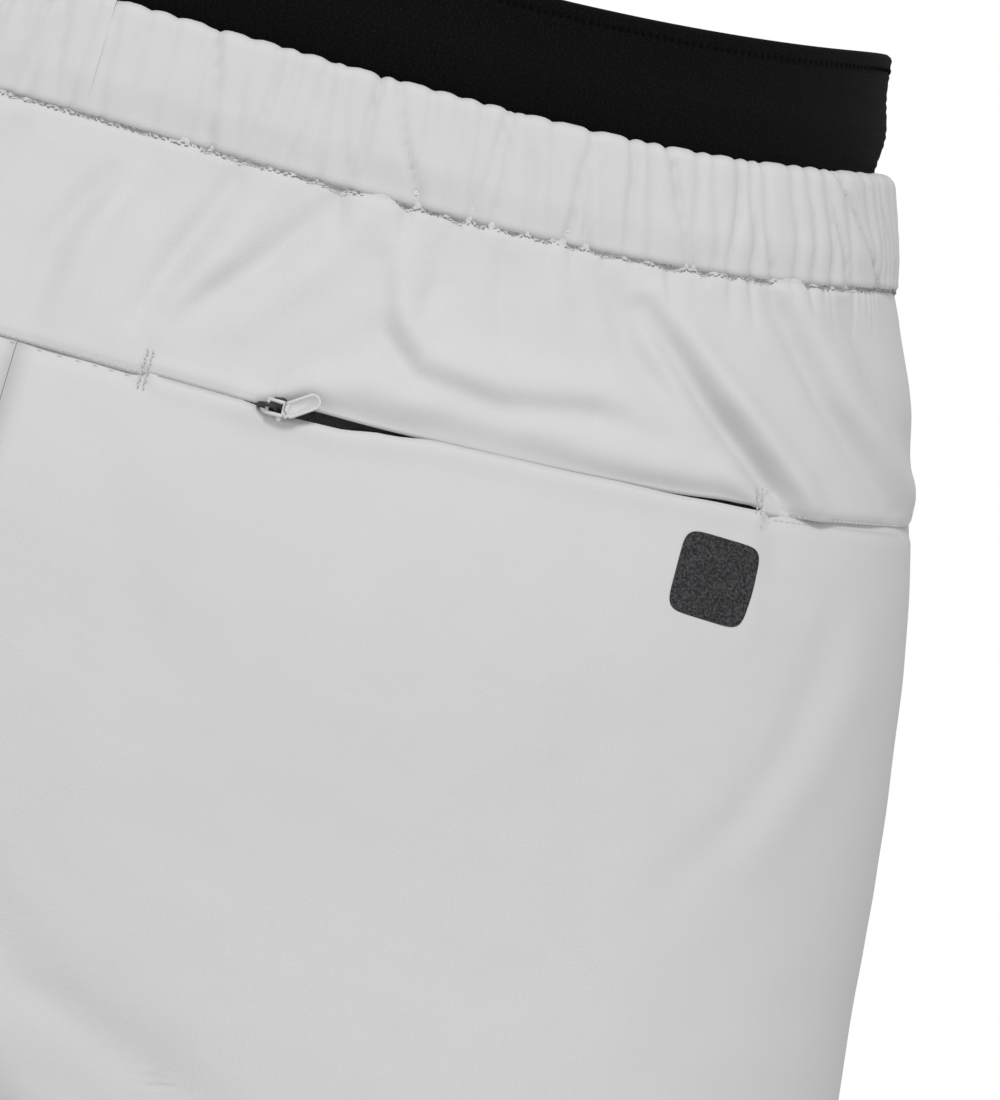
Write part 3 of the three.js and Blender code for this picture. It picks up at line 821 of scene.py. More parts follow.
def makeYoke():
    bottom = form["yokeDrop"]

    def spot(across, up):
        span = 2 * across - 1
        edgeX = onBack(shell, span, bottom)[0].x
        share = inPocket(edgeX)
        edge = lerp(yoke["lap"], -along(pocket["edge"], edgeX), share)
        level = lerp(bottom + edge, yoke["top"], up)
        point, out = onBack(shell, span, level)
        drop = form["waistHeight"] - point.z
        length = waistSpanLength(span)
        outward = 0.3 + yokeOut(point.x, drop, level, length)
        above = bottom + edge - level
        high = along(pocket["slopeHeight"], point.x)
        rise = along(pocket["slopeOut"], point.x) * share
        mouth = smooth(point.x, 56, 60) * share
        outward += rise * bell(above - high, high * 0.62)
        outward = lerp(outward, -pocket["edgeIn"], mouth * bell(above, high * 0.36))
        roll = (1 - mouth) * yoke["edgeRoll"] * (1 - 0.6 * share)
        outward -= roll * bell(above, yoke["rollWidth"])
        outward += share * sliderCover(point.x) * bell(above, 4.5)
        outward += yoke["seamRise"] * bell(level - 26.4, 7)
        outward -= 0.7 * bell(level - 26.4, 0.9) + 1.0 * bell((1 - abs(span)) * 215, 1.6)
        return point + out * outward

    sheet = clothGrid(yoke["columns"], yoke["rows"], 46, 5.3, spot)
    addPiece("yoke_cloth", sheet, shellCloth, ["back_yoke"], wall=yoke["wall"])


# the distance round the waist that belongs to a span of the back
spanLengths = [waistLengthAtX(onBack(shell, i / 60, 27)[0].x) for i in range(61)]


def waistSpanLength(span):
    place60 = abs(span) * 60
    i = min(59, int(place60))
    length = lerp(spanLengths[i], spanLengths[i + 1], place60 - i)
    return length if span >= 0 else waistGirth - length


makeYoke()
print("yoke made")


# outer back and front panels

backFolds = [
    ([(191.8, 86), (193, 100), (190.2, 115.9), (184, 136), (172.2, 155)], -0.8, 4.5),
    ([(198, 84), (200, 102), (197, 122), (188, 146)], 0.7, 5.0),
    ([(134, 96), (148, 142), (161, 190)], -0.5, 6.0),
    ([(146, 92), (160, 140), (174, 190)], 0.4, 7.0),
    ([(74.6, 218), (75, 228), (76.2, 238)], -0.7, 2.4),
    ([(173, 74), (177, 82), (184, 88)], -0.8, 2.0),
    ([(168, 73), (170, 84), (176, 94)], 0.6, 2.6),
    ([(20, 90), (44, 130), (60, 190)], -0.5, 7.0),
    ([(96, 84), (92, 120), (84, 170)], 0.4, 8.0),
    ([(8, 180), (40, 214), (90, 232)], -1.4, 5.5),
    ([(10, 200), (44, 238), (92, 262)], 1.2, 6.0),
    ([(10, 218), (36, 262), (70, 300)], -1.3, 6.0),
    ([(150, 240), (146, 320), (152, 420)], 0.9, 12.0),
    ([(96, 280), (92, 350), (96, 430)], -0.9, 10.0),
    ([(206, 200), (214, 290), (222, 400)], -0.8, 9.0),
]
frontFolds = [
    ([(14, 60), (40, 110), (96, 150)], -0.9, 6.0),
    ([(10, 90), (40, 140), (84, 176)], 0.8, 7.0),
    ([(10, 196), (44, 222), (96, 232)], -1.3, 5.5),
    ([(10, 214), (44, 246), (92, 268)], 1.1, 6.0),
    ([(150, 60), (166, 110), (190, 150)], -0.7, 6.0),
    ([(120, 190), (126, 280), (120, 400)], 0.9, 12.0),
    ([(176, 170), (184, 270), (196, 400)], -0.8, 10.0),
]
panels = {
    "backColumns": 118, "backRows": 190, "frontColumns": 84, "frontRows": 130, "wall": 0.8,
    "tuck": 4.5, "seamRoll": 1.2, "rollWidth": 1.8,
    "centreRoll": 0.08, "centreWidth": 0.8, "hemProud": 0.35, "hemDepth": 22,
    "ripple": 0.7, "lipProud": 0.7,
}


def panelOut(folds, x, drop, level, side):
    out = foldLift(folds, abs(x), drop) * (1 if x > 0 else 0.8)
    out += panels["ripple"] * ripple(x, drop, 38, 2.2 * side) + 0.22 * ripple(x, drop, 13, side)
    out += panels["hemProud"] * smooth(level, 439 - panels["hemDepth"], 440 - panels["hemDepth"])
    out -= 0.5 * bell(level - 440 + panels["hemDepth"], 0.8)
    return out


def makePanel(name, node, side, front):
    columns = panels["frontColumns" if front else "backColumns"]
    rows = panels["frontRows" if front else "backRows"]
    folds = frontFolds if front else backFolds

    def spot(across, up):
        turn = across if front else across - 1
        start = form["yokeDrop"] if not front else casing["bottom"]
        edgeX = side * onForm(shell, turn, start)[0].x
        share = 0 if front or side < 0 else inPocket(edgeX)
        lip = along(pocket["lip"], edgeX) if share else 0
        top = start - (1.2 if front else lerp(panels["tuck"], lip, share))
        level = lerp(form["hemDrop"], top, up ** 0.9)
        point, out = onForm(shell, turn, level)
        drop = form["waistHeight"] - point.z
        outward = panelOut(folds, side * point.x, drop, level, side)
        if front:
            outward -= 1.0 * bell(level - casing["bottom"], 1.2)
        else:
            above = form["yokeDrop"] + 3.5 - level
            outward -= (1 - share) * 1.5 * smooth(above, 0, 3.0)
            closed = share * (1 - smooth(edgeX, 55, 62))
            edge = level - top
            outward += share * panels["lipProud"] * bell(edge - 1.6, 2.6)
            outward += share * sliderCover(edgeX) * bell(edge, 4.5)
            outward -= share * (0.25 + 0.25 * closed) * bell(edge, 0.7)
        outward -= panels["seamRoll"] * bell(abs(turn) * 230, panels["rollWidth"])
        outward -= panels["centreRoll"] * bell((1 - abs(turn)) * 230, panels["centreWidth"])
        spotNow = point + out * outward
        spotNow.x = max(spotNow.x, 0.05)
        spotNow.y = max(spotNow.y, 0.05) if front else min(spotNow.y, -0.05)
        spotNow.x *= side
        return spotNow

    sheet = clothGrid(columns, rows, 24, 38, spot)
    addPiece(name, sheet, shellCloth, [node], wall=panels["wall"], flip=side < 0)


makePanel("back_cloth_right", "outer_back_right", 1, False)
makePanel("back_cloth_left", "outer_back_left", -1, False)
makePanel("front_cloth_right", "outer_front_right", 1, True)
makePanel("front_cloth_left", "outer_front_left", -1, True)
print("outer panels made")


# hem facings and seam stitches

hem = {"columns": 150, "height": 22, "inset": 1.6, "wall": 1.0, "stitchStep": 3.1}


def onLeg(side, angle, level):
    point, out = onForm(shell, angle / math.pi, level)
    if side < 0:
        point.x, out.x = -point.x, -out.x
    return point, out


def makeHemFacing(name, node, side):
    def spot(across, up):
        angle = lerp(-math.pi, math.pi, across)
        level = lerp(form["hemDrop"] - 0.2, form["hemDrop"] - hem["height"], up)
        point, out = onLeg(side, angle, level)
        return point - out * hem["inset"]

    tube = clothGrid(hem["columns"], 12, 50, 2.2, spot)
    closeRing(tube, outward=False)
    addPiece(name, tube, shellCloth, [node], wall=hem["wall"], flip=side < 0)


def makeHemStitches(name, side):
    def spotAt(share):
        point, out = onLeg(side, lerp(-math.pi, math.pi, share), form["hemDrop"] - 20.5)
        return point + out * 0.5, out

    run = stitchRun(spotAt, 500, hem["stitchStep"])
    addStitches(name, run, paleThread, (2.1, 0.45, 0.4))


for sideName, side in sides.items():
    makeHemFacing("hem_turnup_" + sideName, "hem_facing_" + sideName, side)
    makeHemStitches("hem_stitches_" + sideName, side)

seams = {"coverStep": 1.7, "coverTilt": 0.62, "yokeStep": 2.0, "yokeEnd": 0.86}


# the gathering seam under the casing: an uneven zigzag of stitches, their dark colour painted shade
# of the stitch holes
def makeCoverSeam():
    dice = random.Random(11)
    rows = []
    for level, phase in ((26.6, 0.0), (26.9, 0.5)):
        count = int(waistGirth / seams["coverStep"])
        for i in range(count):
            length = (i + phase) * waistGirth / count
            nip, puff = pleatDepth(length, 1)
            here, out = onWaist(shell, waistAngle(length), level + dice.uniform(-0.25, 0.25))
            there, _ = onWaist(shell, waistAngle(length + 0.5), level)
            tilt = dice.choice((-1, 1)) * seams["coverTilt"] * dice.random()
            way = Matrix.Rotation(tilt, 3, out) @ (there - here)
            rows.append((here + out * (0.8 - 0.5 * nip + dice.uniform(-0.1, 0.15)), way, out))
    addStitches("casing_seam_stitches", rows, seamThreadPaintedShade, (1.1, 0.3, 0.3))


# topstitches below the yoke seam, outside the pocket mouth
def makeYokeStitches():
    rows = []

    def run(start, end):
        def spotAt(share):
            span = lerp(start, end, share)
            point, out = onBack(shell, span, form["yokeDrop"] + 0.4)
            return point + out * 0.45, out
        rows.extend(stitchRun(spotAt, abs(end - start) * 232, seams["yokeStep"]))

    spans = [(i / 400, onBack(shell, i / 400, form["yokeDrop"])[0].x) for i in range(401)]
    run(-seams["yokeEnd"], max(span for span, x in spans if x < pocket["inner"] - 1))
    run(min(span for span, x in spans if x > pocket["outer"] + 1), seams["yokeEnd"])
    addStitches("yoke_seam_stitches", rows, paleThread, (1.3, 0.34, 0.3))


makeCoverSeam()
makeYokeStitches()
print("hems and stitches made")


# liner waistband

band = {"columns": 720, "top": -27, "bottom": 27.6, "outer": -2.7, "inner": -4.6, "bulge": 1.5,
        "rib": 0.12, "ladderAt": 3.4}


def bandProfile():
    top, bottom, outer, inner = band["top"], band["bottom"], band["outer"], band["inner"]
    spots = [(bottom, (outer + inner) / 2), (bottom, outer)]
    spots += [(lerp(bottom, top + 1, (i + 1) / 56), outer) for i in range(56)]
    spots += [(top + 0.35, outer - 0.25), (top, (outer + inner) / 2), (top + 0.35, inner + 0.25)]
    spots += [(lerp(top + 1, bottom, i / 12), inner) for i in range(13)]
    return spots + [(bottom, (outer + inner) / 2)]


def makeBand():
    def spotOn(across, level, outward):
        length = across * waistGirth
        if outward == band["outer"]:
            outward += band["bulge"] * bell(level + 9, 6.5)
            outward += band["rib"] * math.cos(2 * math.pi * level / 2.2)
            outward -= 0.35 * bell(level - band["top"] - band["ladderAt"], 0.5)
            outward += 0.35 * ripple(length, level, 45, 4.4)
        level += 0.35 * ripple(length, 0, 60, 9.1)
        point, out = onWaist(shell, waistAngle(length), level)
        return point + out * outward

    ring = profileRing(band["columns"], bandProfile(), waistGirth / 10, 11, spotOn)
    addPiece("knitted_band", ring, bandKnit, ["liner_waistband"])


def makeLadder():
    rows = []
    level = band["top"] + band["ladderAt"]
    count = int(waistGirth / 1.9)
    for i in range(count):
        length = i * waistGirth / count
        here, out = onWaist(shell, waistAngle(length), level)
        there, _ = onWaist(shell, waistAngle(length + 0.5), level)
        way = there - here
        rows.append((here + out * (band["outer"] + 0.1), out.cross(way), out))
        rows.append((here + out * (band["outer"] + 0.12), way, out))
    addStitches("band_ladder_stitches", rows, bandYarn, (1.2, 0.34, 0.34))


elastic = {"columns": 420, "top": 4.6, "bottom": 23.8, "outer": 0.95, "inner": -0.4, "ribs": 20,
           "rib": 0.12}


# the hidden elastic inside the casing, in fine ribs
def makeElastic():
    top, bottom, outer, inner = (elastic[key] for key in ("top", "bottom", "outer", "inner"))
    ribs, rib = elastic["ribs"], elastic["rib"]
    spots = [(top, outer - 0.1), (top + 0.6, outer)]
    spots += [(lerp(top + 0.6, bottom - 0.4, (i + 1) / ribs), outer + (rib if i % 2 else -rib))
              for i in range(ribs)]
    spots += [(bottom, outer - 0.15), (bottom, inner), (top, inner), (top, outer - 0.1)]

    def spotOn(across, level, outward):
        point, out = onWaist(shell, waistAngle(across * waistGirth), level)
        return point + out * (outward - 0.2 + 0.12 * math.sin(across * waistGirth * 1.1))

    ring = profileRing(elastic["columns"], spots, waistGirth / 10, 5, spotOn)
    addPiece("ribbed_elastic", ring, elasticCloth, ["waistband_elastic"])


makeBand()
makeLadder()
makeElastic()
print("bands made")


# liner panels, cuffs and label

linerValues = {"columns": 84, "rows": 150, "wall": 0.9, "ripple": 0.5, "seamRoll": 0.6,
               "cuffTop": 432, "cuffColumns": 300, "cuffRib": 0.28}


def makeLinerPanel(name, node, side, front):
    def spot(across, up):
        turn = across if front else across - 1
        level = lerp(linerValues["cuffTop"] - 0.2, 27.9, up)
        point, out = onForm(liner, turn, level)
        drop = form["waistHeight"] - point.z
        outward = linerValues["ripple"] * min(0, ripple(point.x, drop, 42, 6.1 * side) - 0.2)
        edge = min(1 - abs(turn), abs(turn)) * 200
        outward -= linerValues["seamRoll"] * bell(edge, 1.5)
        point = point + out * outward
        point.x = max(point.x, 0.15) * side
        point.y = max(point.y, 0.15) if front else min(point.y, -0.15)
        return point

    sheet = clothGrid(linerValues["columns"], linerValues["rows"], 20, 40, spot)
    addPiece(name, sheet, linerKnit, [node], wall=linerValues["wall"], flip=side < 0)


def makeCuff(name, node, side):
    top, bottom = linerValues["cuffTop"] + 0.2, liner["hem"]
    spots = [(top, -0.6), (top, 0.3), (top + 0.5, 0.5)]
    spots += [(lerp(top + 0.5, bottom - 0.6, (i + 1) / 22), 0.5) for i in range(22)]
    spots += [(bottom - 0.1, 0.1), (bottom, -1.0), (bottom - 0.1, -2.1), (bottom - 0.6, -2.5)]
    spots += [(lerp(bottom - 0.6, top, (i + 1) / 8), -2.5) for i in range(8)] + [(top, -0.6)]

    def spotOn(across, level, outward):
        point, out = onForm(liner, lerp(-1, 1, across), level)
        if outward == 0.5:
            rib = math.cos(2 * math.pi * 75 * across)
            outward += linerValues["cuffRib"] * (rib - 1) - 0.35 * bell(level - top - 4, 0.6)
        point = point + out * (outward - 0.15)
        point.x *= side
        return point

    ring = profileRing(linerValues["cuffColumns"], spots, 46, 7, spotOn)
    addPiece(name, ring, bandKnit, [node])


for sideName, side in sides.items():
    makeLinerPanel("liner_knit_back_" + sideName, "liner_back_" + sideName, side, False)
    makeLinerPanel("liner_knit_front_" + sideName, "liner_front_" + sideName, side, True)
    makeCuff("ribbed_cuff_" + sideName, "liner_cuff_" + sideName, side)

label = {"width": 30, "height": 26, "inset": 2.55, "wall": 0.35, "seamLevel": 29.2}


def makeLabel():
    def spot(across, up):
        curl = 0.9 * (1 - up) ** 2 * math.sin(math.pi * across)
        x = (across - 0.5) * label["width"]
        fold = 0.25 * (bell(across * 30, 1.2) + bell((1 - across) * 30, 1.2))
        level = 28 + (1 - up) * label["height"]
        return placeAtX(liner, x, level, label["inset"] - fold * 0.3 + curl)

    sheet = clothGrid(40, 34, 3, 2.6, spot)
    addPiece("woven_label", sheet, labelCloth, ["care_label"], wall=label["wall"],
             flip=True)
    sewn = label["width"] - 3

    def spotAt(share):
        point = placeAtX(liner, (share - 0.5) * sewn, label["seamLevel"], label["inset"] + 0.35)
        return point, Vector((0, 1, 0))

    addStitches("label_stitches", stitchRun(spotAt, sewn, 2.4), bandYarn,
                (1.6, 0.35, 0.35))


makeLabel()
print("liner made")


# pads in the liner

# Each pad: its area on the liner by turns and levels (the tailbone pad crosses the centre back),
# its blocks and how full it is.
padAreas = {
    "hip_pad": {"turns": (-0.2, 0.4), "levels": (98, 222),
        "cells": 6, "blocks": (4, 5), "fill": 0.8},
    "thigh_pad": {"turns": (0.3, 0.7), "levels": (272, 384),
        "cells": 8, "blocks": (4, 6), "fill": 0.8},
    "seat_pad": {"turns": (-0.8, -0.4), "levels": (172, 240),
        "cells": 8, "blocks": (4, 3), "fill": 0.7},
    "tailbone_pad": {"turns": None, "levels": (166, 212),
        "cells": 4, "blocks": (3, 3), "fill": 0.7},
}
padValues = {"clearance": 0.95, "thickness": 10.6, "channel": 4.2, "channelWidth": 0.05,
             "corner": 0.16, "coverGap": 0.75, "wall": 0.8, "grid": 84}


def padSpot(area, side, across, up, height):
    level = lerp(area["levels"][1], area["levels"][0], up)
    if area["turns"]:
        point, out = onForm(liner, lerp(*area["turns"], across), level)
        point += out * height
        point.x *= side
        return point
    span = lerp(-0.1, 0.1, across)
    point, out = onBack(liner, span, level)
    return point + out * height


# 0 along a sewn channel and 1 on a block: the blocks have rounded crowns
def blockHeight(area, across, up):
    height = 1.0
    for share, count in ((across, area["blocks"][0]), (up, area["blocks"][1])):
        inBlock = (share * count) % 1
        edge = min(inBlock, 1 - inBlock) / count
        height = min(height, smooth(edge, 0, padValues["channelWidth"]))
    return height


def padRim(across, up):
    edge = min(across, 1 - across, up, 1 - up)
    return math.sqrt(clamp(edge / padValues["corner"]))


def makePad(name, node, area, side):
    inner = 1 / area["cells"]

    def shareOn(share):
        return lerp(inner, 1 - inner, share)

    n = padValues["grid"]
    foam = bmesh.new()
    bmesh.ops.create_grid(foam, x_segments=n, y_segments=n, size=0.5)
    raised = bmesh.ops.extrude_face_region(foam, geom=foam.faces[:], use_keep_orig=True)
    top = {v for v in raised["geom"] if isinstance(v, bmesh.types.BMVert)}
    for vert in foam.verts:
        across, up = vert.co.x + 0.5, vert.co.y + 0.5
        height = padValues["clearance"]
        if vert in top:
            block = blockHeight(area, across, up)
            crown = padValues["thickness"] - padValues["channel"] * (1 - block)
            height += crown * lerp(0.45, 1, padRim(across, up))
        vert.co = padSpot(area, side, shareOn(across), shareOn(up), height) * mm
    bmesh.ops.recalc_face_normals(foam, faces=foam.faces[:])
    pad = addPiece(name, foam, padFoam, [node])


def makePadCover(name, node, area, side):
    n = padValues["grid"]
    border = 1 / area["cells"]
    top = padValues["clearance"] + padValues["thickness"] + padValues["coverGap"]

    def spot(across, up):
        edge = min(across, 1 - across, up, 1 - up)
        raised = smooth(edge, border * 0.12, border * 0.95)
        within = [clamp((share - border) / (1 - 2 * border)) for share in (across, up)]
        block = blockHeight(area, *within) if raised > 0.9 else 0.6
        dip = 0.7 * padValues["channel"] * (1 - block) * smooth(edge, border, border * 1.3)
        height = lerp(0.5, top - dip + padValues["wall"], raised)
        height += 0.12 * math.cos(2 * math.pi * edge / 0.012) * (edge < border * 0.12)
        return padSpot(area, side, across, up, height)

    sheet = clothGrid(n, n, 12, 12, spot)
    addPiece(name, sheet, coverKnit, [node], wall=padValues["wall"],
             flip=side < 0)


for padName, area in padAreas.items():
    for sideName, side in sides.items() if area["turns"] else [("", 1)]:
        ending = "_" + sideName if sideName else ""
        makePad("foam_" + padName + ending, padName + ending, area, side)
        makePadCover("cover_" + padName + ending, padName + "_cover" + ending, area, side)
print("pads made")


# pocket bag

bag = {"inner": 21, "outer": 178, "bottom": 160, "outerTop": 94.8, "innerTop": 60.8, "layer": 4.7,
       "depth": 8, "wall": 0.6}


def makeBag():
    def outerSpot(across, up):
        x = lerp(bag["inner"], bag["outer"], across)
        level = lerp(bag["bottom"], bag["outerTop"], up)
        return placeAtX(shell, x, level, bag["layer"] + 0.15 * ripple(x, level, 18, 3))

    def innerSpot(across, up):
        x = lerp(bag["inner"], bag["outer"], across)
        level = lerp(bag["bottom"], bag["innerTop"], up)
        edge = min(min(across, 1 - across) * 14, min(up, 1 - up) * 8)
        sag = bag["depth"] * smooth(edge, 0.1, 1.6) * (0.9 + 0.12 * ripple(x, level, 30, 7))
        return placeAtX(shell, x, level, 6.5 + sag)

    for layer, sheet in (("outer", clothGrid(90, 40, 16, 6.5, outerSpot)),
                         ("inner", clothGrid(110, 74, 16, 10, innerSpot))):
        addPiece("pocket_layer_" + layer, sheet, pocketCloth,
                 ["pocket_bag_" + layer], wall=bag["wall"])


makeBag()
print("pocket made")


# zip

zipValues = {
    "inner": 29, "outer": 170, "tapeHeight": 13, "rest": 28, "sliderLength": 9, "splay": 14,
    "openHalfGap": 3.0, "mesh": 0.15, "coilWidth": 1.5, "coilInset": 1.4, "coilThickness": 2,
    "tapeInset": 4.0, "tapeWall": 0.7, "toothStep": 1.12,
}


# the zip lies on the circle through both ends and the middle of the pocket mouth
def makeZipLine():
    middleX = (zipValues["inner"] + zipValues["outer"]) / 2
    start, middle, end = [placeAtX(shell, x, form["yokeDrop"])
                          for x in (zipValues["inner"], middleX, zipValues["outer"])]
    a, b = start - end, middle - end
    normal = a.cross(b)
    centre = (b * a.length_squared - a * b.length_squared).cross(normal) \
        / (2 * normal.length_squared) + end
    up = normal.normalized()
    if up.z < 0:
        up.negate()
    out = start - centre
    radius = out.length
    out.normalize()
    length = radius * out.angle(end - centre)
    above = placeAtX(shell, middleX, form["yokeDrop"] - zipValues["tapeHeight"])
    below = placeAtX(shell, middleX, form["yokeDrop"] + zipValues["tapeHeight"])

    def radiusAt(point):
        arm = point - centre
        return (arm - up * arm.dot(up)).length

    lean = math.atan2(radiusAt(below) - radiusAt(above), (above - below).dot(up))
    return {"centre": centre, "up": up, "out": out, "radius": radius, "length": length,
            "lean": lean}


zipLine = makeZipLine()


def zipFrame(distance):
    radial = Matrix.Rotation(distance / zipLine["radius"], 3, zipLine["up"]) @ zipLine["out"]
    forwards = zipLine["up"].cross(radial)
    across = Matrix.Rotation(-zipLine["lean"], 3, forwards) @ zipLine["up"]
    inwards = across.cross(forwards)
    return radial * zipLine["radius"] + zipLine["centre"], forwards, inwards, across


def onZip(distance, outwards, upwards):
    origin, forwards, inwards, across = zipFrame(distance)
    return origin - inwards * outwards + across * upwards


# the transform that stands a piece on the zip: x along it, y inwards and z up across it
def zipStand(distance):
    origin, forwards, inwards, across = zipFrame(distance)
    return Matrix.Translation(origin * mm) \
        @ Matrix((forwards, inwards, across)).transposed().to_4x4() @ Matrix.Scale(mm, 4)


def coilHalfGap(distance):
    start = zipValues["rest"] - zipValues["sliderLength"] / 2
    opened = smooth(distance, start, zipValues["rest"] + zipValues["splay"])
    return lerp(zipValues["mesh"], zipValues["openHalfGap"], opened)


def makeCoil(name, node, side):
    transforms = []
    count = int((zipLine["length"] - 3) / zipValues["toothStep"])
    depth = zipValues["coilInset"] + zipValues["coilThickness"] / 2
    for i in range(count):
        distance = 1.9 + (i + (0.5 if side > 0 else 0)) * zipValues["toothStep"]
        reach = side * (coilHalfGap(distance) + zipValues["coilWidth"] / 2)
        origin, forwards, inwards, across = zipFrame(min(distance, zipLine["length"] - 1.9))
        spot = origin + inwards * depth + across * reach
        transforms.append(turnedTo(spot, (forwards, inwards, across), (0.44, 0.95, 0.74)))
    teeth = beads(transforms, 8, 6)
    # the core that the coil is sewn down over
    def coreSpot(across, around):
        distance = lerp(1.6, zipLine["length"] - 1.6, across)
        turn = around * 2 * math.pi
        reach = coilHalfGap(distance) + 0.9 + 0.34 * math.cos(turn)
        return onZip(distance, 0.5 * math.sin(turn) * side - depth, side * reach)

    core = clothGrid(160, 8, 14, 0.3, coreSpot)
    bmesh.ops.remove_doubles(core, verts=core.verts[:], dist=0.001 * mm)
    rims = [edge for edge in core.edges if edge.is_boundary]
    bmesh.ops.holes_fill(core, edges=rims, sides=0)
    bmesh.ops.recalc_face_normals(core, faces=core.faces[:])
    coreMesh = bpy.data.meshes.new("core")
    core.to_mesh(coreMesh)
    core.free()
    teeth.from_mesh(coreMesh)
    bpy.data.meshes.remove(coreMesh)
    addPiece(name, teeth, coilPlastic, [node])


def makeTape(name, node, side):
    def spot(across, up):
        distance = lerp(1.5, zipLine["length"] - 1.5, across)
        near = coilHalfGap(distance) + 0.3
        reach = lerp(near, near + zipValues["tapeHeight"] - 0.3, up if side > 0 else 1 - up)
        depth = zipValues["tapeInset"] + 0.06 * math.sin(distance * 5)
        return onZip(distance, -depth, side * reach)

    sheet = clothGrid(180, 22, 14.5, 1.3, spot)
    addPiece(name, sheet, pocketCloth, [node], wall=zipValues["tapeWall"])


makeCoil("zip_teeth_upper", "zip_coil_upper", 1)
makeCoil("zip_teeth_lower", "zip_coil_lower", -1)
makeTape("zip_cloth_upper", "zip_tape_upper", 1)
makeTape("zip_cloth_lower", "zip_tape_lower", -1)
print("zip made")


# a block between two corners, with its long edges rounded and then all its edges eased
def roundedBlock(low, high, corner=0.0, ease=0.12, axis=1):
    block = bmesh.new()
    size = Vector(high) - Vector(low)
    bmesh.ops.create_cube(block, size=1)
    bmesh.ops.scale(block, vec=size, verts=block.verts[:])
    bmesh.ops.translate(block, vec=(Vector(low) + Vector(high)) / 2, verts=block.verts[:])
    if corner:
        upright = [edge for edge in block.edges
                   if abs(edge.verts[0].co[axis] - edge.verts[1].co[axis]) > size[axis] / 2]
        bmesh.ops.bevel(block, geom=upright, offset=corner, segments=6, profile=0.5,
                        affect="EDGES", material=-1)
    if ease:
        sharp = [edge for edge in block.edges if edge.calc_face_angle(0) > 0.9]
        bmesh.ops.bevel(block, geom=sharp, offset=ease, segments=3, profile=0.5,
                        affect="EDGES", material=-1, clamp_overlap=True)
    return block


def joinShapes(shapes):
    whole = bmesh.new()
    scratch = bpy.data.meshes.new("join")
    for shape in shapes:
        shape.to_mesh(scratch)
        shape.free()
        whole.from_mesh(scratch)
    bpy.data.meshes.remove(scratch)
    return whole


slider = {"length": 9, "width": 6.6, "plateOut": 0.2, "plateIn": 1.05, "backOut": 5.15,
          "backIn": 6.0, "post": 1.4, "bailSpan": 3.8, "bailWire": 1.0, "bailTop": -3.55}


def makeSlider():
    half, wide = slider["length"] / 2, slider["width"] / 2
    shapes = []
    for face in ("plate", "back"):
        low, high = slider[face + "Out"], slider[face + "In"]
        plate = roundedBlock((-half, low, -wide), (half, high, wide), corner=1.7, ease=0.22)
        for vert in plate.verts:
            vert.co.z *= lerp(0.78, 1.0, smooth(vert.co.x, -half, half * 0.4))
        shapes.append(plate)
    rib = roundedBlock((-half + 1.2, slider["plateOut"] - 0.25, -0.9),
                       (half - 2.0, slider["plateOut"] + 0.3, 0.9), corner=0.6, ease=0.15)
    shapes.append(rib)
    shapes.append(roundedBlock((half - slider["post"], slider["plateIn"] - 0.3, -0.7),
                               (half - 0.1, slider["backOut"] + 0.3, 0.7), corner=0.3, ease=0.1))
    for side in (-1, 1):
        shapes.append(roundedBlock((-half + 0.8, slider["plateOut"] + 0.3, side * 2.45 - 0.25),
                                   (-0.2, slider["plateIn"] + 0.8, side * 2.45 + 0.25), ease=0.12))
    bail = bmesh.new()
    radius, legX = slider["bailWire"] / 2, slider["bailSpan"] / 2
    start = slider["bailTop"] + legX
    lying = Matrix.Translation((legX, start, 0)) @ Matrix.Rotation(math.pi / 2, 4, "X")
    bmesh.ops.create_circle(bail, segments=12, radius=radius, matrix=lying)
    firstRing = bail.edges[:]
    spun = bmesh.ops.spin(bail, geom=firstRing, cent=(0, start, 0), axis=(0, 0, 1), angle=-math.pi,
                          steps=18)
    for ring in (firstRing, [e for e in spun["geom_last"] if isinstance(e, bmesh.types.BMEdge)]):
        leg = bmesh.ops.extrude_edge_only(bail, edges=ring)
        verts = [v for v in leg["geom"] if isinstance(v, bmesh.types.BMVert)]
        bmesh.ops.translate(bail, vec=(0, 0.6 - start, 0), verts=verts)
    rims = [edge for edge in bail.edges if edge.is_boundary]
    bmesh.ops.holes_fill(bail, edges=rims, sides=0)
    bmesh.ops.recalc_face_normals(bail, faces=bail.faces[:])
    shapes.append(bail)
    whole = joinShapes(shapes)
    bmesh.ops.transform(whole, matrix=zipStand(zipValues["rest"]), verts=whole.verts[:])
    addPiece("slider_body", whole, sliderPaint, ["zip_slider"], body="slider")


pull = {"bar": 0.8, "eyeLength": 3, "length": 9, "width": 3.8, "outside": -2.7, "inside": -1.5,
        "yaw": 0.6, "recess": 0.3, "rim": 0.45}


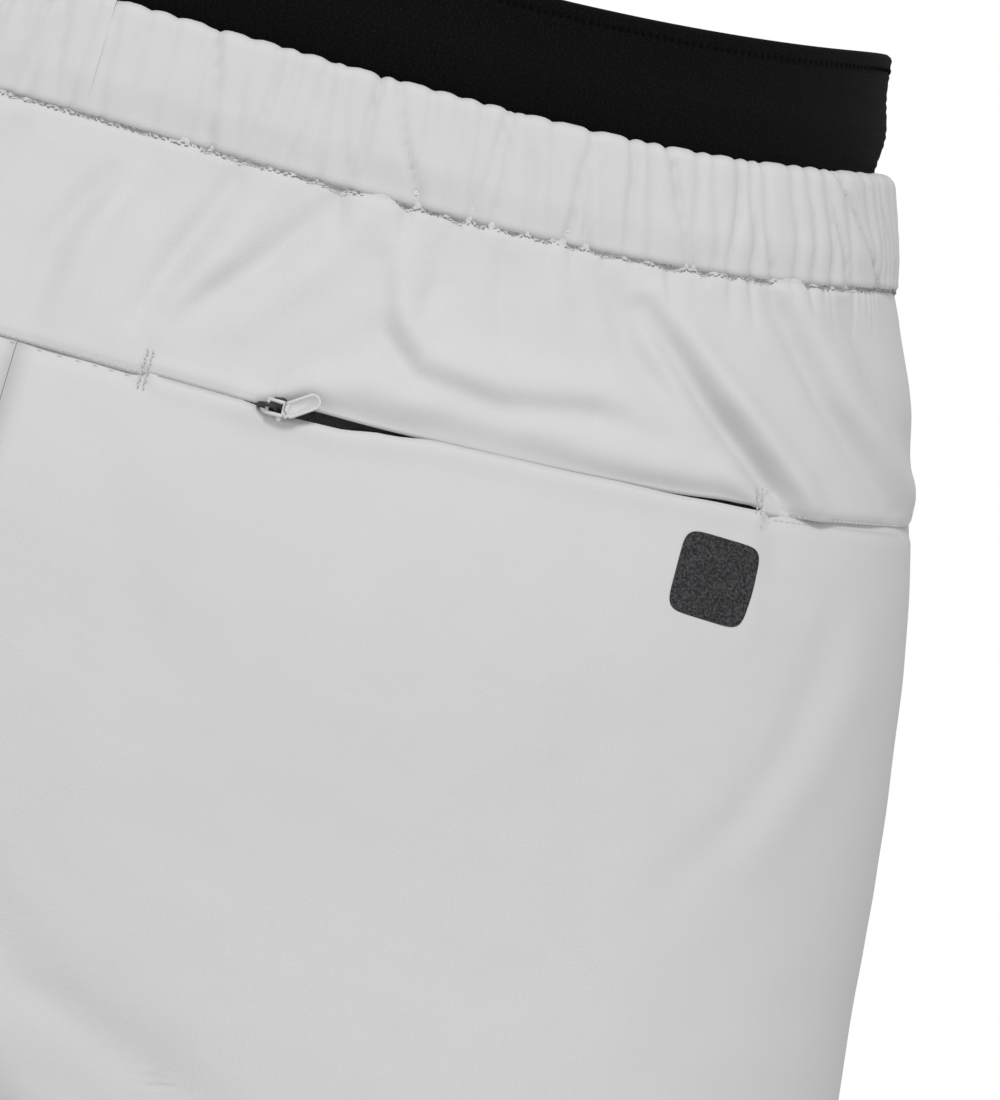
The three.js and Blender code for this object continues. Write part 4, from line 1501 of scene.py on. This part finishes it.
def makePull():
    half = pull["width"] / 2
    eyeEnd = pull["eyeLength"] + 2 * pull["bar"]
    outside, inside = pull["outside"], pull["inside"]
    bar = pull["bar"]
    shapes = [roundedBlock((-bar / 2, outside, -half), (bar / 2, inside, half), ease=0.3)]
    for side in (-1, 1):
        low, high = sorted((side * half, side * (half - bar)))
        shapes.append(roundedBlock((-bar / 2, outside, low), (eyeEnd - 0.2, inside, high),
                                   ease=0.25))
    shapes.append(roundedBlock((eyeEnd - bar - 0.5, outside, -half),
                               (eyeEnd + 0.2, inside, half), ease=0.25))
    tab = roundedBlock((-1.2, outside, -half), (pull["length"] - 1.2, inside, half),
                       corner=half - 0.05, ease=0.18)
    face = min(tab.faces, key=lambda f: f.calc_center_median().y + (0 if f.calc_area() > 5 else 9))
    bmesh.ops.inset_region(tab, faces=[face], thickness=pull["rim"], depth=0)
    bmesh.ops.inset_region(tab, faces=[face], thickness=0.12, depth=-pull["recess"])
    bmesh.ops.rotate(tab, verts=tab.verts[:], cent=(0, 0, 0),
                     matrix=Matrix.Rotation(-pull["yaw"], 3, "Y"))
    bmesh.ops.translate(tab, vec=(eyeEnd, 0, 0), verts=tab.verts[:])
    shapes.append(tab)
    whole = joinShapes(shapes)
    bmesh.ops.transform(whole, matrix=zipStand(zipValues["rest"]), verts=whole.verts[:])
    addPiece("pull_tab", whole, pullRubber, ["zip_pull"], body="pull")


makeSlider()
makePull()


# the clips that end the zip: one over both coils, one over the upper coil alone
def makeStops():
    gap = zipValues["coilWidth"] + zipValues["mesh"]
    for distance, low, high, name, node in (
            (3, -gap, gap, "stop_bottom", "zip_bottom_stop"),
            (zipLine["length"] - 3, 3.0, 4.5, "stop_top", "zip_top_stop")):
        clip = roundedBlock((-0.8, 0.3, low), (0.8, 1.1, high), ease=0.22)
        bmesh.ops.transform(clip, matrix=zipStand(distance), verts=clip.verts[:])
        addPiece(name, clip, sliderPaint, [node])


tack = {"halfHeight": 4.1, "halfGap": 0.65, "stitches": 10, "proud": 0.62, "raised": 0.8,
        "zigzag": 0.12, "slant": 0.25}


# two close rows of stitches across an end of the pocket mouth
def makeBartack(name, node, distance):
    origin, forwards, inwards, across = zipFrame(distance)
    rows = []
    for aside in (-tack["halfGap"], tack["halfGap"]):
        for i in range(tack["stitches"]):
            turn = (-1) ** i
            height = lerp(-tack["halfHeight"], tack["halfHeight"], i / (tack["stitches"] - 1))
            spot = origin + forwards * (aside + tack["zigzag"] * turn) \
                - inwards * tack["proud"] + across * (height + tack["raised"])
            rows.append((spot, across + forwards * tack["slant"] * turn, -inwards))
    addStitches(name, rows, tackThread, (0.95, 0.42, 0.36), replaced=[node])


makeStops()
makeBartack("tack_inner", "bartack_inner", 0)
makeBartack("tack_outer", "bartack_outer", zipLine["length"])

mark = {"x": 164, "drop": 86.5, "size": 18, "roundness": 6, "proud": 0.14, "wall": 0.22}


def makeMark():
    def spot(across, up):
        u, v = 2 * across - 1, 2 * up - 1
        most = max(abs(u), abs(v))
        roundness = mark["roundness"]
        norm = (abs(u) ** roundness + abs(v) ** roundness) ** (1 / roundness)
        if norm:
            u, v = u * most / norm, v * most / norm
        x = mark["x"] + u * mark["size"] / 2
        lift = edgeLift(mark["drop"], x / halfWidthAt(mark["drop"]), False)
        level = mark["drop"] + lift - v * mark["size"] / 2
        point = placeAtX(shell, x, level)
        drop = form["waistHeight"] - point.z
        outward = panelOut(backFolds, point.x, drop, level, 1)
        below = level - form["yokeDrop"]
        outward += panels["lipProud"] * inPocket(point.x) * bell(below - 1.6, 2.6)
        return placeAtX(shell, x, level, -outward - mark["proud"])

    patch = clothGrid(60, 60, 1.8, 1.8, spot)
    addPiece("plain_mark", patch, markInk, ["reflective_mark"], wall=mark["wall"])


makeMark()
print("trim made")


# camera, light and floor

view = {"aim": (115.3, 0, 366.2), "distance": 2800, "lens": 399, "rollX": 0.961, "rollZ": 0.276}


def makeCamera():
    right = Vector((view["rollX"], 0, view["rollZ"])).normalized()
    back = Vector((0, -1, 0))
    up = back.cross(right)
    turned = Matrix((right, up, back)).transposed().to_4x4()
    data = bpy.data.cameras.new("camera")
    data.lens = view["lens"]
    data.sensor_width = 36
    data.sensor_fit = "AUTO"
    data.clip_end = 50
    camera = bpy.data.objects.new("camera", data)
    aim = Vector(view["aim"]) * mm
    camera.matrix_world = Matrix.Translation(aim + back * view["distance"] * mm) @ turned
    bpy.context.scene.collection.objects.link(camera)
    bpy.context.scene.camera = camera


def makeLight(name, spot, aim, size, power, color=(1, 1, 1)):
    data = bpy.data.lights.new(name, "AREA")
    data.shape = "DISK"
    data.size = size
    data.energy = power
    data.color = color
    light = bpy.data.objects.new(name, data)
    light.matrix_world = Matrix.Translation(Vector(spot)) \
        @ (Vector(spot) - Vector(aim)).to_track_quat("Z", "Y").to_matrix().to_4x4()
    bpy.context.scene.collection.objects.link(light)


def makeFloor():
    disc = bmesh.new()
    bmesh.ops.create_circle(disc, cap_ends=True, segments=96, radius=4)
    mesh = bpy.data.meshes.new("floor")
    disc.to_mesh(mesh)
    disc.free()
    material, tree, shader = startMaterial("paleFloor", 0.9)
    shader.inputs["Base Color"].default_value = (0.86, 0.86, 0.86, 1)
    mesh.materials.append(material)
    floor = bpy.data.objects.new("floor", mesh)
    floor.location.z = -0.0006
    bpy.context.scene.collection.objects.link(floor)


def makeSurroundings():
    world = bpy.data.worlds.new("studio")
    world.use_nodes = True
    tree = world.node_tree
    background = tree.nodes["Background"]
    background.inputs["Color"].default_value = (1, 1, 1, 1)
    rays = addNode(tree, "ShaderNodeLightPath")
    seen = maths(tree, "MULTIPLY", rays.outputs["Is Camera Ray"], 0.42)
    strength = maths(tree, "ADD", seen, 0.58)
    tree.links.new(strength, background.inputs["Strength"])
    bpy.context.scene.world = world
    bpy.context.scene.view_settings.view_transform = "Standard"
    makeLight("softAbove", (-0.25, -2.0, 2.5), (0.1, 0, 0.36), 0.8, 54)
    makeLight("softRight", (2.2, -1.4, 0.9), (0.1, 0, 0.36), 1.4, 9)


makeCamera()
makeFloor()
makeSurroundings()
print("camera, light and floor made")
